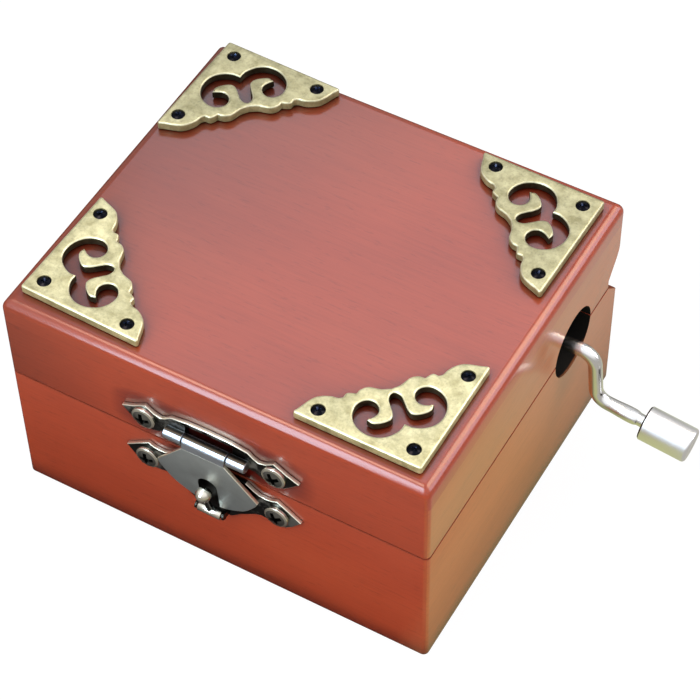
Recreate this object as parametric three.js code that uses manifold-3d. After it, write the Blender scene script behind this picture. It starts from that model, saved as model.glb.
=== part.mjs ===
// Hand-cranked wooden music box, in millimetres, +Z up.
// The origin is the centre of the underside, +X runs along the front to the crank side, +Y to the back.
import * as THREE from "three";
import { mergeVertices } from "three/addons/utils/BufferGeometryUtils.js";
import Module from "manifold-3d";

const wasm = await Module();
wasm.setup();

// Case
const boxWidth = 86;
const boxDepth = 74.5;
const boxHeight = 50;
const seamShare = 0.61;
const seamGap = 0.3;
const wallThickness = 6.5;
const floorThickness = 4;
const lidPanelThickness = 5;
const verticalEdgeRound = 1.2;
const topEdgeRound = 2;
const cornerRoundShare = 0.9;

// Back groove at the seam, which the hinge barrels lie in
const grooveBaseBevel = 4.5;
const grooveLipHeight = 2;
const grooveLipDepth = 4.6;

// Crank hole, half in the base and half in the lid
const crankHoleRadius = 7.1;
const crankHoleFromBack = 12.55;

// Raised deck inside the base
const cleatWidth = 5;
const deckThickness = 3;
const deckGap = 0.3;

// Hinges
const hingeInset = 19;
const hingeLength = 16;
const hingeBarrelRadius = 1.1;
const hingePinRadius = 0.5;
const hingeKnuckleHalf = 2.7;
const knuckleGap = 0.2;
const leafThickness = 0.6;
const leafDrop = 8;
const leafLipGap = 0.3;
const barrelWallGap = 0.1;
const barrelRise = 1.15;

// Corner brackets: half of the scalloped edge, from the saddle to the tip, along and across one leg
const bracketThickness = 1.9;
const bracketEdge = [
  [12.55, 12.55], [13.9, 11.65], [14.85, 11.35], [16.2, 10.9], [17.1, 9.85], [17.3, 8.7], [18.1, 8.4],
  [18.8, 7.9], [18.85, 6.9], [19.5, 6.4], [20.7, 6.15], [22, 5.5], [23.1, 4.5], [23.75, 3.1], [24.2, 1.7],
  [24.7, 0.45], [24.4, 0],
];
const bracketCorner = [0.35, 0];
const bracketPiercing = [
  [7, 7], [7.1, 5.3], [8.1, 3.45], [9.6, 2.3], [11.4, 1.95], [13.2, 2.3], [14.8, 3.3], [15.8, 4.9], [16, 6.7],
  [15.2, 8.1], [13.9, 8.55], [12.6, 8.1], [11.85, 7], [12.0, 5.7], [12.4, 4.35], [11.4, 4.55], [10.4, 5.25],
  [9.6, 6.2], [9.4, 7.1], [9.9, 8.1], [10.9, 9.2], [11.75, 10.15], [12.05, 11.15],
];
const bracketPiercingEnd = [11.85, 11.85];
const bracketInsets = [[2.3, 3.6], [3.1, 2.9], [2.8, 3.2], [2.6, 0.9]];
const bracketTurns = [-1.7, 0, -1, -1.7].map(THREE.MathUtils.degToRad);
const bracketScrewPlaces = [[3, 3], [21.1, 2.4], [2.4, 21.1]];
const bracketScrew = { headRadius: 1.25, headHeight: 0.65, shankRadius: 0.6, shankLength: 3.6 };

// Hasp on the lid: half outlines from the middle, heights from the barrel's axis
const haspBarrelHeight = 6.4;
const haspPlateThickness = 0.8;
const haspPlateEdge = [
  [0, -2], [9.2, -2], [10.4, -2.9], [11.8, -3.4], [13.4, -3.5], [15, -3.1], [16.3, -1.9], [18.1, 0],
  [15.6, 1.2], [13.1, 2.8], [11.4, 1.5], [10, 1.1], [9, 1.6], [7.9, 2.6], [4.5, 3.15], [0, 3.3],
];
const haspWindowHalf = 4.75;
const haspWindowHeights = [-1.4, 1.5];
const haspBarrelProud = 1.9;
const haspBarrelRadius = 1.2;
const haspFlapBarrelHalf = 4.4;
const haspKnuckleEnd = 8.3;
const haspPinRadius = 0.45;
const flapThickness = 0.7;
const flapFoldHeight = -1.1;
const flapFoldProud = 3.2;
const flapSlope = 0.081;
const flapNeckHalf = 4.3;
const flapEdge = [
  [10.4, -8.9], [9.9, -10], [8.9, -11.5], [8, -12.7], [7, -13.7], [6.2, -14.2], [5.4, -14.7], [4.6, -15.1],
  [3.8, -15.5], [2.9, -15.8],
];
const flapSlotHalf = 1.9;
const flapSlotTop = -10.25;
const flapTipHeight = -16;
const haspScrewPlaces = [[-13.3, -0.3], [13.3, -0.3]];
const haspScrew = { headRadius: 2.45, headHeight: 1.25, shankRadius: 1, shankLength: 5.6 };

// Catch on the base: heights from the seam. Its ball-ended lever swings out and down.
const catchPlateEdge = [
  [0, -0.3], [4.5, -0.35], [7, -0.6], [8.6, -1.8], [9.8, -2.4], [11, -2.5], [12.2, -2.3], [13.3, -1.7],
  [15.6, -3.3], [18.1, -5.1], [16.3, -7.3], [15, -8.4], [13.4, -8.7], [11.6, -8.4], [9.9, -8.1],
  [8.7, -8.6], [7.4, -9.5], [5.4, -10.9], [3.6, -12.6], [1.9, -12.95], [0, -13],
];
const catchScrewPlaces = [[-13.4, -5.5], [13.4, -5.5]];
const catchBarrelAboveTip = 1.45;
const catchBarrelProud = 2.2;
const catchBarrelRadius = 0.95;
const catchLeverHalf = 2.4;
const catchKnuckleRadius = 0.75;
const catchKnuckleEnd = 3.05;
const catchPinRadius = 0.4;
const catchBallReach = 6.8;
const catchBallProud = 3.9;
const catchBallRadius = 1.5;
const catchStemRadius = 0.6;

// Crank: a bent rod in one upright plane, and the knob that turns on it
const shaftFromBack = 13;
const shaftDrop = 0.5;
const rodRadius = 1.35;
const rodBendRadius = 3.2;
const crankCornerReach = 4.7;
const crankArmLength = 11.85;
const crankArmLean = THREE.MathUtils.degToRad(5.1);
const crankHandleTilt = THREE.MathUtils.degToRad(7.1);
const swageSpan = [4.6, 8.6];
const swageHalfWidth = 1.6;
const swageHalfThickness = 1.15;
const swageEase = 0.7;
const knobSpan = [10.1, 19.9];
const knobRadius = 3.4;
const knobEndRound = 0.75;
const knobInnerChamfer = 0.3;
const knobEndWall = 1;
const knobRunningGap = 0.1;

// Worm and wheel that turn the pinned cylinder
const gearModule = 0.55;
const gearTeeth = 20;
const gearWidth = 2;
const gearAddendum = 0.5;
const gearDedendum = 0.65;
const wormPitchRadius = 2.2;
const wormCoreRadius = 1.5;
const wormTipRadius = 2.7;
const wormThreadRootRadius = 1.35;
const wormHalfLength = 3.4;
const wormThreadHalfLength = 2.9;
const toothRootShare = 0.52;
const toothTipShare = 0.22;

// Movement: lengths from the cylinder's axis, from the crank shaft and up from the deck
const cylinderFromWall = 22.5;
const shaftAboveDeck = 17.5;
const cylinderRadius = 6.5;
const cylinderSpan = [-25.6, -3.3];
const arborRadius = 0.8;
const arborSpan = [-29.3, 4.3];
const trackCount = 18;
const trackPitch = 1.12;
const firstTrackY = -23.9;
const pinHeight = 0.8;
const pinWidth = 0.4;
const pinsPerTrack = 5;
const goldenTurnShare = 0.381966;
const combTipGap = 0.3;
const combThickness = 0.8;
const combToothWidth = 0.78;
const combBackX = -27;
const combRootXs = [-20.4, -15.2];
const combMargin = 0.6;
const combBlockFrontX = -21;
const combScrewPlaces = [[-24, -21.2], [-24, -7.4]];
const combScrew = { headRadius: 1.9, headHeight: 1.3, shankRadius: 1, shankLength: 4.6 };
const bedThickness = 1.8;
const bedX = [-29, 12];
const bedY = [-30.6, 5.9];
const earThickness = 1.4;
const earHalfWidth = 2.4;
const arborEarYs = [-28.8, 2.4];
const wormEarXs = [-8.1, 6.7];
const wormShaftStartX = -9;
const hubX = [8.9, 15];
const hubRadius = 2.4;
const socketDepth = 5;
const bedScrewPlaces = [[-26.5, 2.4], [9, -27.6]];
const bedScrew = { headRadius: 1.8, headHeight: 1.2, shankRadius: 0.9, shankLength: 4 };

// Fits and facets
const pressGap = 0.05;
const runningGap = 0.1;
const screwGap = 0.1;
const boreSides = 14;
const screwSides = 10;
const roundSides = 20;
const holeSides = 32;
const drumSides = 36;
const bendSteps = 5;
const threadSteps = 12;
const cornerSteps = 3;

// Positions that follow from the sizes
const halfWidth = boxWidth / 2;
const halfDepth = boxDepth / 2;
const innerX = halfWidth - wallThickness;
const innerY = halfDepth - wallThickness;
const seamHeight = boxHeight * seamShare;
const lidBottom = seamHeight + seamGap;
const lidPanelBottom = boxHeight - lidPanelThickness;
const grooveStartY = halfDepth - grooveBaseBevel;
const lipY = halfDepth - grooveLipDepth;
const hingeOffsets = [hingeInset - halfWidth, halfWidth - hingeInset];
const hingeY = lipY + barrelWallGap + hingeBarrelRadius;
const hingeHeight = seamHeight + barrelRise;
const haspHeight = seamHeight + haspBarrelHeight;
const catchPlateTip = Math.min(...catchPlateEdge.map(([, z]) => z));
const catchBarrelHeight = seamHeight + catchPlateTip + catchBarrelAboveTip;
const crankHoleY = innerY - crankHoleFromBack;
const shaftY = innerY - shaftFromBack;
const shaftHeight = seamHeight - shaftDrop;
const deckTop = shaftHeight - shaftAboveDeck;
const cleatTop = deckTop - deckThickness;
const cylinderX = innerX - cylinderFromWall;
const gearPitchRadius = gearModule * gearTeeth / 2;
const arborHeight = shaftAboveDeck - wormPitchRadius - gearPitchRadius;
const wormLead = Math.PI * gearModule;
const combTipX = -cylinderRadius - pinHeight - combTipGap;
const combBottom = arborHeight - combThickness / 2;
const lastTrackY = firstTrackY + trackPitch * (trackCount - 1);

const materials = {
  wood: { color: 0x9a4b30, roughness: 0.35, metalness: 0 },
  plywood: { color: 0xc79d6b, roughness: 0.7, metalness: 0 },
  antique: { color: 0xb9b07c, roughness: 0.45, metalness: 0.9 },
  blackened: { color: 0x25211c, roughness: 0.4, metalness: 0.8 },
  gunmetal: { color: 0x6d6a64, roughness: 0.3, metalness: 1 },
  nickel: { color: 0xc9c8c4, roughness: 0.25, metalness: 1 },
  brass: { color: 0xc2a04a, roughness: 0.35, metalness: 1 },
  steel: { color: 0xa8acb0, roughness: 0.3, metalness: 1 },
  castFrame: { color: 0x9a9a96, roughness: 0.5, metalness: 0.9 },
};

const xAxis = new THREE.Vector3(1, 0, 0);
const yAxis = new THREE.Vector3(0, 1, 0);
const zAxis = new THREE.Vector3(0, 0, 1);
const profileAlongX = new THREE.Matrix4().makeBasis(yAxis, zAxis, xAxis);
const profileAlongY = new THREE.Matrix4().makeBasis(zAxis, xAxis, yAxis);
const facingFront = new THREE.Matrix4().makeBasis(xAxis, zAxis, yAxis.clone().negate());

const group = new THREE.Group();
group.name = "music_box";

function addPart(name, material, geometry) {
  const flat = geometry.index ? geometry.toNonIndexed() : geometry;
  flat.computeVertexNormals();
  const mesh = new THREE.Mesh(flat, new THREE.MeshStandardMaterial(materials[material]));
  mesh.name = name;
  group.add(mesh);
}

// Joins equal points, drops faces that have shrunk to a line, and turns an inside-out surface round.
function closedSurface(geometry) {
  const bare = geometry.clone();
  bare.deleteAttribute("normal");
  bare.deleteAttribute("uv");
  const merged = mergeVertices(bare);
  const at = merged.attributes.position;
  const corners = [0, 1, 2].map(() => new THREE.Vector3());
  const faces = [];
  let volume = 0;
  for (let i = 0; i < merged.index.count; i += 3) {
    const face = [0, 1, 2].map((k) => merged.index.getX(i + k));
    if (new Set(face).size < 3) continue;
    face.forEach((vertex, k) => corners[k].fromBufferAttribute(at, vertex));
    volume += corners[0].dot(corners[1].cross(corners[2]));
    faces.push(face);
  }
  const outward = volume < 0 ? faces.map(([a, b, c]) => [a, c, b]) : faces;
  const result = new THREE.BufferGeometry();
  result.setAttribute("position", at);
  result.setIndex(outward.flat());
  return result;
}

function toSolid(geometry) {
  const surface = closedSurface(geometry);
  return new wasm.Manifold(new wasm.Mesh({
    numProp: 3,
    vertProperties: new Float32Array(surface.attributes.position.array),
    triVerts: new Uint32Array(surface.index.array),
  }));
}

function toGeometry(solid) {
  const mesh = solid.getMesh();
  const geometry = new THREE.BufferGeometry();
  geometry.setAttribute("position", new THREE.BufferAttribute(new Float32Array(mesh.vertProperties), 3));
  geometry.setIndex(new THREE.BufferAttribute(new Uint32Array(mesh.triVerts), 1));
  return geometry;
}

function join(...pieces) {
  return toGeometry(pieces.map(toSolid).reduce((whole, piece) => whole.add(piece)));
}

function cut(piece, ...tools) {
  return toGeometry(tools.map(toSolid).reduce((rest, tool) => rest.subtract(tool), toSolid(piece)));
}

function block([x0, x1], [y0, y1], [z0, z1]) {
  const box = new THREE.BoxGeometry(x1 - x0, y1 - y0, z1 - z0);
  return box.translate((x0 + x1) / 2, (y0 + y1) / 2, (z0 + z1) / 2);
}

// A profile of [radius, height] turned about Z.
function turned(profile, sides = roundSides) {
  const lathe = new THREE.LatheGeometry(profile.map(([r, h]) => new THREE.Vector2(r, h)), sides);
  return closedSurface(lathe.rotateX(Math.PI / 2));
}

function roundBar(radius, [from, to], sides = roundSides) {
  return turned([[0, from], [radius, from], [radius, to], [0, to]], sides);
}

function barAlongX(radius, span, y, z, sides = roundSides) {
  return roundBar(radius, span, sides).applyMatrix4(profileAlongX).translate(0, y, z);
}

function barAlongY(radius, span, x, z, sides = roundSides) {
  return roundBar(radius, span, sides).applyMatrix4(profileAlongY).translate(x, 0, z);
}

function plate(points, thickness, holes = []) {
  const shape = new THREE.Shape(points.map(([x, y]) => new THREE.Vector2(x, y)));
  shape.holes = holes.map((hole) => new THREE.Path(hole.map(([x, y]) => new THREE.Vector2(x, y))));
  return closedSurface(new THREE.ExtrudeGeometry(shape, { depth: thickness, bevelEnabled: false }));
}

// Skin over rings of equal point count, each end closed by a fan about its middle.
function loft(rings) {
  const count = rings[0].length;
  const middles = [rings[0], rings[rings.length - 1]].map((ring) =>
    ring.reduce((sum, point) => sum.add(point), new THREE.Vector3()).divideScalar(count));
  const points = [...rings.flat(), ...middles];
  const faces = [];
  for (let i = 0; i < rings.length - 1; i++) {
    for (let k = 0; k < count; k++) {
      const a = i * count + k;
      const b = i * count + (k + 1) % count;
      faces.push([a, b, b + count], [a, b + count, a + count]);
    }
  }
  const last = (rings.length - 1) * count;
  for (let k = 0; k < count; k++) {
    const next = (k + 1) % count;
    faces.push([points.length - 2, next, k], [points.length - 1, last + k, last + next]);
  }
  const geometry = new THREE.BufferGeometry().setFromPoints(points);
  geometry.setIndex(faces.flat());
  return closedSurface(geometry);
}

function mirrored(half) {
  const other = half.filter(([x]) => x > 0).map(([x, y]) => [-x, y]).reverse();
  return [...half, ...other];
}

// A screw that stands on Z = 0: a domed head above, the pointed shank below.
function domedScrew({ headRadius, headHeight, shankRadius, shankLength }, plateThickness = 0) {
  const domeSteps = 3;
  const rimHeight = headHeight / 2;
  const profile = [
    [0, -shankLength], [shankRadius, shankRadius - shankLength], [shankRadius, plateThickness],
    [headRadius, plateThickness],
  ];
  for (let i = 0; i <= domeSteps; i++) {
    const turn = i / domeSteps * Math.PI / 2;
    const height = plateThickness + rimHeight + rimHeight * Math.sin(turn);
    profile.push([i < domeSteps ? headRadius * Math.cos(turn) : 0, height]);
  }
  return turned(profile, boreSides);
}

function screwHole({ shankRadius, shankLength }, above) {
  return roundBar(shankRadius + screwGap, [-shankLength - screwGap, above], boreSides);
}

// Case boards: four mitred walls, the plan of each being one side of the rounded rectangle.
function wallPlan(halfLength, halfReach) {
  const points = [[halfLength - wallThickness, wallThickness - halfReach]];
  points.push([wallThickness - halfLength, wallThickness - halfReach]);
  for (const side of [-1, 1]) {
    for (let i = 0; i <= cornerSteps; i++) {
      const share = side < 0 ? 1 - i / cornerSteps : i / cornerSteps;
      const turn = share * Math.PI / 4;
      const x = side * (halfLength - verticalEdgeRound + verticalEdgeRound * Math.sin(turn));
      const y = verticalEdgeRound - halfReach - verticalEdgeRound * Math.cos(turn);
      points.push([x, y]);
    }
  }
  return points;
}

const sides = ["front", "right", "back", "left"];
function wall(side, bottom, top) {
  const index = sides.indexOf(side);
  const plan = index % 2 ? wallPlan(halfDepth, halfWidth) : wallPlan(halfWidth, halfDepth);
  return plate(plan, top - bottom).rotateZ(index * Math.PI / 2).translate(0, 0, bottom);
}

function alongBack(profile) {
  return plate(profile, boxWidth * 2).applyMatrix4(profileAlongX).translate(-boxWidth, 0, 0);
}

const beyondBack = halfDepth + grooveBaseBevel;
const baseGroove = alongBack([
  [grooveStartY, seamHeight], [beyondBack, seamHeight - 2 * grooveBaseBevel], [beyondBack, boxHeight],
  [grooveStartY, boxHeight],
]);
const lidGroove = alongBack([
  [lipY, lidBottom + grooveLipHeight], [lipY, 0], [beyondBack, 0],
  [beyondBack, lidBottom + grooveLipHeight + beyondBack - lipY],
]);
const crankHole = barAlongX(crankHoleRadius, [innerX / 2, boxWidth], crankHoleY, seamHeight, holeSides);
const frontY = -halfDepth;

function onFront(geometry, x, z) {
  return geometry.applyMatrix4(facingFront).translate(x, frontY, z);
}

const baseLeafBed = hingeOffsets.map((x) =>
  block([x - hingeLength / 2, x + hingeLength / 2], [0, halfDepth], [seamHeight - leafThickness, boxHeight]));
const lidLeafBed = hingeOffsets.map((x) =>
  block([x - hingeLength / 2, x + hingeLength / 2], [0, lipY + leafThickness], [0, lidBottom + leafThickness]));
const haspScrewHoles = haspScrewPlaces.map(([x, z]) =>
  onFront(screwHole(haspScrew, boxHeight), x, haspHeight + z));
const catchScrewHoles = catchScrewPlaces.map(([x, z]) =>
  onFront(screwHole(haspScrew, boxHeight), x, seamHeight + z));

addPart("base_front_wall", "wood", cut(wall("front", 0, seamHeight), ...catchScrewHoles));
addPart("base_right_wall", "wood", cut(wall("right", 0, seamHeight), baseGroove, crankHole));
addPart("base_back_wall", "wood", cut(wall("back", 0, seamHeight), baseGroove, ...baseLeafBed));
addPart("base_left_wall", "wood", cut(wall("left", 0, seamHeight), baseGroove));
addPart("base_floor", "plywood", block([-innerX, innerX], [-innerY, innerY], [0, floorThickness]));

addPart("lid_front_wall", "wood", cut(wall("front", lidBottom, lidPanelBottom), ...haspScrewHoles));
addPart("lid_right_wall", "wood", cut(wall("right", lidBottom, lidPanelBottom), lidGroove, crankHole));
addPart("lid_back_wall", "wood", cut(wall("back", lidBottom, lidPanelBottom), lidGroove, ...lidLeafBed));
addPart("lid_left_wall", "wood", cut(wall("left", lidBottom, lidPanelBottom), lidGroove));

function panelRing(inset, z) {
  const radius = verticalEdgeRound * (1 - cornerRoundShare * inset / topEdgeRound);
  const ring = [];
  for (let corner = 0; corner < 4; corner++) {
    const [sx, sy] = [[1, 1], [-1, 1], [-1, -1], [1, -1]][corner];
    for (let i = 0; i <= 2 * cornerSteps; i++) {
      const turn = (corner + i / (2 * cornerSteps)) * Math.PI / 2;
      const x = sx * (halfWidth - inset - radius) + radius * Math.cos(turn);
      const y = sy * (halfDepth - inset - radius) + radius * Math.sin(turn);
      ring.push(new THREE.Vector3(x, y, z));
    }
  }
  return ring;
}

const roundSteps = 4;
const panelRings = [panelRing(0, lidPanelBottom)];
for (let i = 0; i <= roundSteps; i++) {
  const turn = i / roundSteps * Math.PI / 2;
  const inset = topEdgeRound * (1 - Math.cos(turn));
  panelRings.push(panelRing(inset, boxHeight - topEdgeRound * (1 - Math.sin(turn))));
}

// Corner brackets and their countersunk screws, all laid out from the bracket's own corner.
const acrossLeg = ([u, v]) => [v, u];
function bothLegs(half, last) {
  const ends = last ? [...half, last] : half;
  const back = half.filter(([u, v]) => u !== v).map(acrossLeg).reverse();
  return [...ends, ...back];
}

const bracketOutline = bothLegs([...bracketEdge, bracketCorner]);
const bracketHole = bothLegs(bracketPiercing, bracketPiercingEnd);
function countersunk(grow, length) {
  const { headRadius, headHeight, shankRadius } = bracketScrew;
  const top = grow ? boxHeight : 0;
  return turned([
    [0, -length], [shankRadius + grow, grow ? -length : shankRadius - length],
    [shankRadius + grow, -headHeight], [headRadius + grow, 0], [headRadius + grow, top], [0, top],
  ], screwSides);
}

const bracketTop = boxHeight + bracketThickness;
const bracketScrewReach = bracketScrew.shankLength + bracketThickness;
const panelHoles = [];
bracketInsets.forEach(([insetX, insetY], index) => {
  const [sx, sy] = [[-1, -1], [1, -1], [1, 1], [-1, 1]][index];
  const turn = index * Math.PI / 2 + bracketTurns[index];
  const place = (geometry, lift) =>
    geometry.rotateZ(turn).translate(sx * (halfWidth - insetX), sy * (halfDepth - insetY), lift);
  const corner = ["front_left", "front_right", "back_right", "back_left"][index];
  const holes = bracketScrewPlaces.map(([u, v]) =>
    countersunk(pressGap, bracketScrewReach + screwGap).translate(u, v, bracketThickness));
  const bracket = cut(plate(bracketOutline, bracketThickness, [bracketHole]), ...holes);
  addPart(`bracket_${corner}`, "antique", place(bracket, boxHeight));
  bracketScrewPlaces.forEach(([u, v], number) => {
    const screw = countersunk(0, bracketScrewReach).translate(u, v, 0);
    addPart(`bracket_screw_${corner}_${number + 1}`, "blackened", place(screw, bracketTop));
    const hole = countersunk(pressGap, bracketScrewReach + screwGap).translate(u, v, 0);
    panelHoles.push(place(hole, bracketTop));
  });
});
addPart("lid_panel", "wood", cut(loft(panelRings), ...panelHoles));

// Hasp plate on the lid
const barrelY = (proud) => frontY - proud;
const haspKnuckles = [-1, 1].map((side) => {
  const inner = haspFlapBarrelHalf + knuckleGap;
  const span = side < 0 ? [-haspKnuckleEnd, -inner] : [inner, haspKnuckleEnd];
  return barAlongX(haspBarrelRadius, span, barrelY(haspBarrelProud), haspHeight);
});
const haspPinBore = barAlongX(
  haspPinRadius + runningGap, [-boxWidth, boxWidth], barrelY(haspBarrelProud), haspHeight);
const haspWindow = block(
  [-haspWindowHalf, haspWindowHalf], [frontY - haspBarrelRadius, frontY + haspBarrelRadius],
  haspWindowHeights.map((z) => haspHeight + z));
const haspPlate = onFront(plate(mirrored(haspPlateEdge), haspPlateThickness), 0, haspHeight);
addPart("hasp_plate", "gunmetal", cut(
  join(haspPlate, ...haspKnuckles), haspPinBore, haspWindow, ...haspScrewHoles));
addPart("hasp_pin", "gunmetal", barAlongX(
  haspPinRadius, [-haspKnuckleEnd, haspKnuckleEnd], barrelY(haspBarrelProud), haspHeight));

// Flap: barrel, short neck and the shield-shaped leaf with its slot over the ball lever
const slotSteps = 8;
const flapHalf = [[flapNeckHalf, flapFoldHeight], ...flapEdge, [flapSlotHalf, flapTipHeight]];
const slotArc = [];
for (let i = 0; i <= slotSteps; i++) {
  const turn = i / slotSteps * Math.PI;
  slotArc.push([flapSlotHalf * Math.cos(turn), flapSlotTop + flapSlotHalf * Math.sin(turn)]);
}
const flapOutline = [...flapHalf, ...slotArc, ...flapHalf.map(([x, z]) => [-x, z]).reverse()];
const flapLean = new THREE.Matrix4().makeShear(0, 0, 0, 0, 0, -flapSlope);
const flapLeaf = plate(flapOutline, flapThickness)
  .applyMatrix4(facingFront)
  .translate(0, frontY - flapFoldProud + flapThickness, -flapFoldHeight)
  .applyMatrix4(flapLean)
  .translate(0, 0, haspHeight + flapFoldHeight);
const flapOuter = barrelY(flapFoldProud);
const barrelOuter = barrelY(haspBarrelProud + haspBarrelRadius);
const flapNeck = plate([
  [flapOuter, flapFoldHeight], [flapOuter + flapThickness, flapFoldHeight - flapThickness / 2],
  [flapOuter + flapThickness, 0], [barrelOuter, 0],
], flapNeckHalf * 2).applyMatrix4(profileAlongX).translate(-flapNeckHalf, 0, haspHeight);
const flapBarrel = barAlongX(
  haspBarrelRadius, [-haspFlapBarrelHalf, haspFlapBarrelHalf], barrelY(haspBarrelProud), haspHeight);
addPart("hasp_flap", "gunmetal", cut(join(flapLeaf, flapNeck, flapBarrel), haspPinBore));

// Catch plate, its curled knuckles, the pin and the lever
const catchY = barrelY(catchBarrelProud);
const catchKnuckles = [-1, 1].map((side) => {
  const inner = catchLeverHalf + knuckleGap;
  const span = side < 0 ? [-catchKnuckleEnd, -inner] : [inner, catchKnuckleEnd];
  const heights = [catchBarrelHeight - catchKnuckleRadius, catchBarrelHeight + catchKnuckleRadius];
  const web = block(span, [catchY, frontY - haspPlateThickness / 2], heights);
  return join(web, barAlongX(catchKnuckleRadius, span, catchY, catchBarrelHeight, boreSides));
});
const catchBore = barAlongX(
  catchPinRadius + runningGap, [-boxWidth, boxWidth], catchY, catchBarrelHeight, boreSides);
const catchPlate = onFront(plate(mirrored(catchPlateEdge), haspPlateThickness), 0, seamHeight);
addPart("catch_plate", "gunmetal", cut(join(catchPlate, ...catchKnuckles), catchBore, ...catchScrewHoles));
addPart("catch_pin", "gunmetal", barAlongX(
  catchPinRadius, [-catchKnuckleEnd, catchKnuckleEnd], catchY, catchBarrelHeight, boreSides));

const ballCentre = new THREE.Vector3(0, barrelY(catchBallProud), catchBarrelHeight + catchBallReach);
const leverFoot = new THREE.Vector3(0, catchY, catchBarrelHeight);
const leverAxis = ballCentre.clone().sub(leverFoot);
const leverTurn = new THREE.Quaternion().setFromUnitVectors(zAxis, leverAxis.clone().normalize());
const leverStem = roundBar(catchStemRadius, [0, leverAxis.length()], screwSides)
  .applyQuaternion(leverTurn)
  .translate(...leverFoot);
const leverBall = new THREE.SphereGeometry(catchBallRadius, boreSides, boreSides / 2).translate(...ballCentre);
addPart("catch_lever", "gunmetal", cut(
  join(barAlongX(catchBarrelRadius, [-catchLeverHalf, catchLeverHalf], catchY, catchBarrelHeight),
    leverStem, leverBall),
  catchBore));

[[haspScrewPlaces, "hasp_screw", haspHeight], [catchScrewPlaces, "catch_screw", seamHeight]].forEach((row) => {
  const [places, name, level] = row;
  places.forEach(([x, z], index) => {
    const screw = onFront(domedScrew(haspScrew, haspPlateThickness), x, level + z);
    addPart(`${name}_${["left", "right"][index]}`, "gunmetal", screw);
  });
});

// Back hinges: each leaf lies in the seam and is bent along the inner face of its wall.
function hingeLeaf(x, levels, knuckleSpans) {
  const [under, over, tip] = levels;
  const strip = [x - hingeLength / 2 + knuckleGap, x + hingeLength / 2 - knuckleGap];
  const inside = innerY - leafThickness;
  const flat = block(strip, [inside, lipY - leafLipGap], [under, over]);
  const legLevels = tip < under ? [tip, over] : [under, tip];
  const leg = block(strip, [inside, innerY], legLevels);
  const knuckles = knuckleSpans.flatMap(([from, to]) => {
    const span = [x + from, x + to];
    const reach = plate([
      [lipY - leafThickness, under], [lipY + leafThickness, under],
      [hingeY, hingeHeight - hingePinRadius], [hingeY - leafThickness, hingeHeight],
      [lipY, over], [lipY - leafThickness, over],
    ], to - from).applyMatrix4(profileAlongX).translate(x + from, 0, 0);
    return [reach, barAlongX(hingeBarrelRadius, span, hingeY, hingeHeight, boreSides)];
  });
  const boreSpan = [-boxWidth, boxWidth];
  const bore = barAlongX(hingePinRadius + runningGap, boreSpan, hingeY, hingeHeight, boreSides);
  return cut(join(flat, leg, ...knuckles), bore);
}

hingeOffsets.forEach((x, index) => {
  const name = ["left", "right"][index];
  const outer = hingeLength / 2 - knuckleGap;
  const inner = hingeKnuckleHalf + knuckleGap;
  const baseLevels = [seamHeight - leafThickness, seamHeight, seamHeight - leafDrop];
  const lidLevels = [lidBottom, lidBottom + leafThickness, lidBottom + leafDrop];
  addPart(`hinge_base_leaf_${name}`, "brass", hingeLeaf(x, baseLevels, [[-outer, -inner], [inner, outer]]));
  addPart(`hinge_lid_leaf_${name}`, "brass", hingeLeaf(x, lidLevels, [[-hingeKnuckleHalf, hingeKnuckleHalf]]));
  addPart(`hinge_pin_${name}`, "brass",
    barAlongX(hingePinRadius, [x - outer, x + outer], hingeY, hingeHeight, boreSides));
});

// Deck on two cleats, and the cast bedplate screwed to it
const cleatHeights = [floorThickness, cleatTop];
addPart("cleat_left", "plywood", block([-innerX, cleatWidth - innerX], [-innerY, innerY], cleatHeights));
addPart("cleat_right", "plywood", block([innerX - cleatWidth, innerX], [-innerY, innerY], cleatHeights));

// The movement is built round its own origin and then set in place on the deck.
const inPlace = (geometry) => geometry.clone().translate(cylinderX, shaftY, deckTop);
const screwFromTop = (screw, [x, y], level) => screwHole(screw, boxHeight).translate(x, y, level);
const bedHoles = bedScrewPlaces.map((place) => screwFromTop(bedScrew, place, bedThickness));
addPart("deck", "plywood", cut(
  block([deckGap - innerX, innerX - deckGap], [deckGap - innerY, innerY - deckGap], [cleatTop, deckTop]),
  ...bedHoles.map(inPlace)));

const combHoles = combScrewPlaces.map((place) => screwFromTop(combScrew, place, combBottom + combThickness));
const combBlockY = [firstTrackY - combMargin, lastTrackY + combMargin];
const earSpan = [-earHalfWidth, earHalfWidth];
const arborEars = arborEarYs.map((y) => join(
  block(earSpan, [y, y + earThickness], [0, arborHeight]),
  barAlongY(earHalfWidth, [y, y + earThickness], 0, arborHeight)));
const wormEars = wormEarXs.map((x) => join(
  block([x, x + earThickness], earSpan, [0, shaftAboveDeck]),
  barAlongX(earHalfWidth, [x, x + earThickness], 0, shaftAboveDeck)));
const arborBore = barAlongY(arborRadius + runningGap, [-boxDepth, boxDepth], 0, arborHeight, boreSides);
const wormBore = barAlongX(arborRadius + runningGap, [-boxWidth, boxWidth], 0, shaftAboveDeck, boreSides);
addPart("bedplate", "castFrame", inPlace(cut(
  join(block(bedX, bedY, [0, bedThickness]), ...arborEars, ...wormEars), arborBore, wormBore, ...bedHoles)));
bedScrewPlaces.forEach(([x, y], index) => {
  addPart(`bed_screw_${index + 1}`, "steel", inPlace(domedScrew(bedScrew).translate(x, y, bedThickness)));
});

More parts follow.
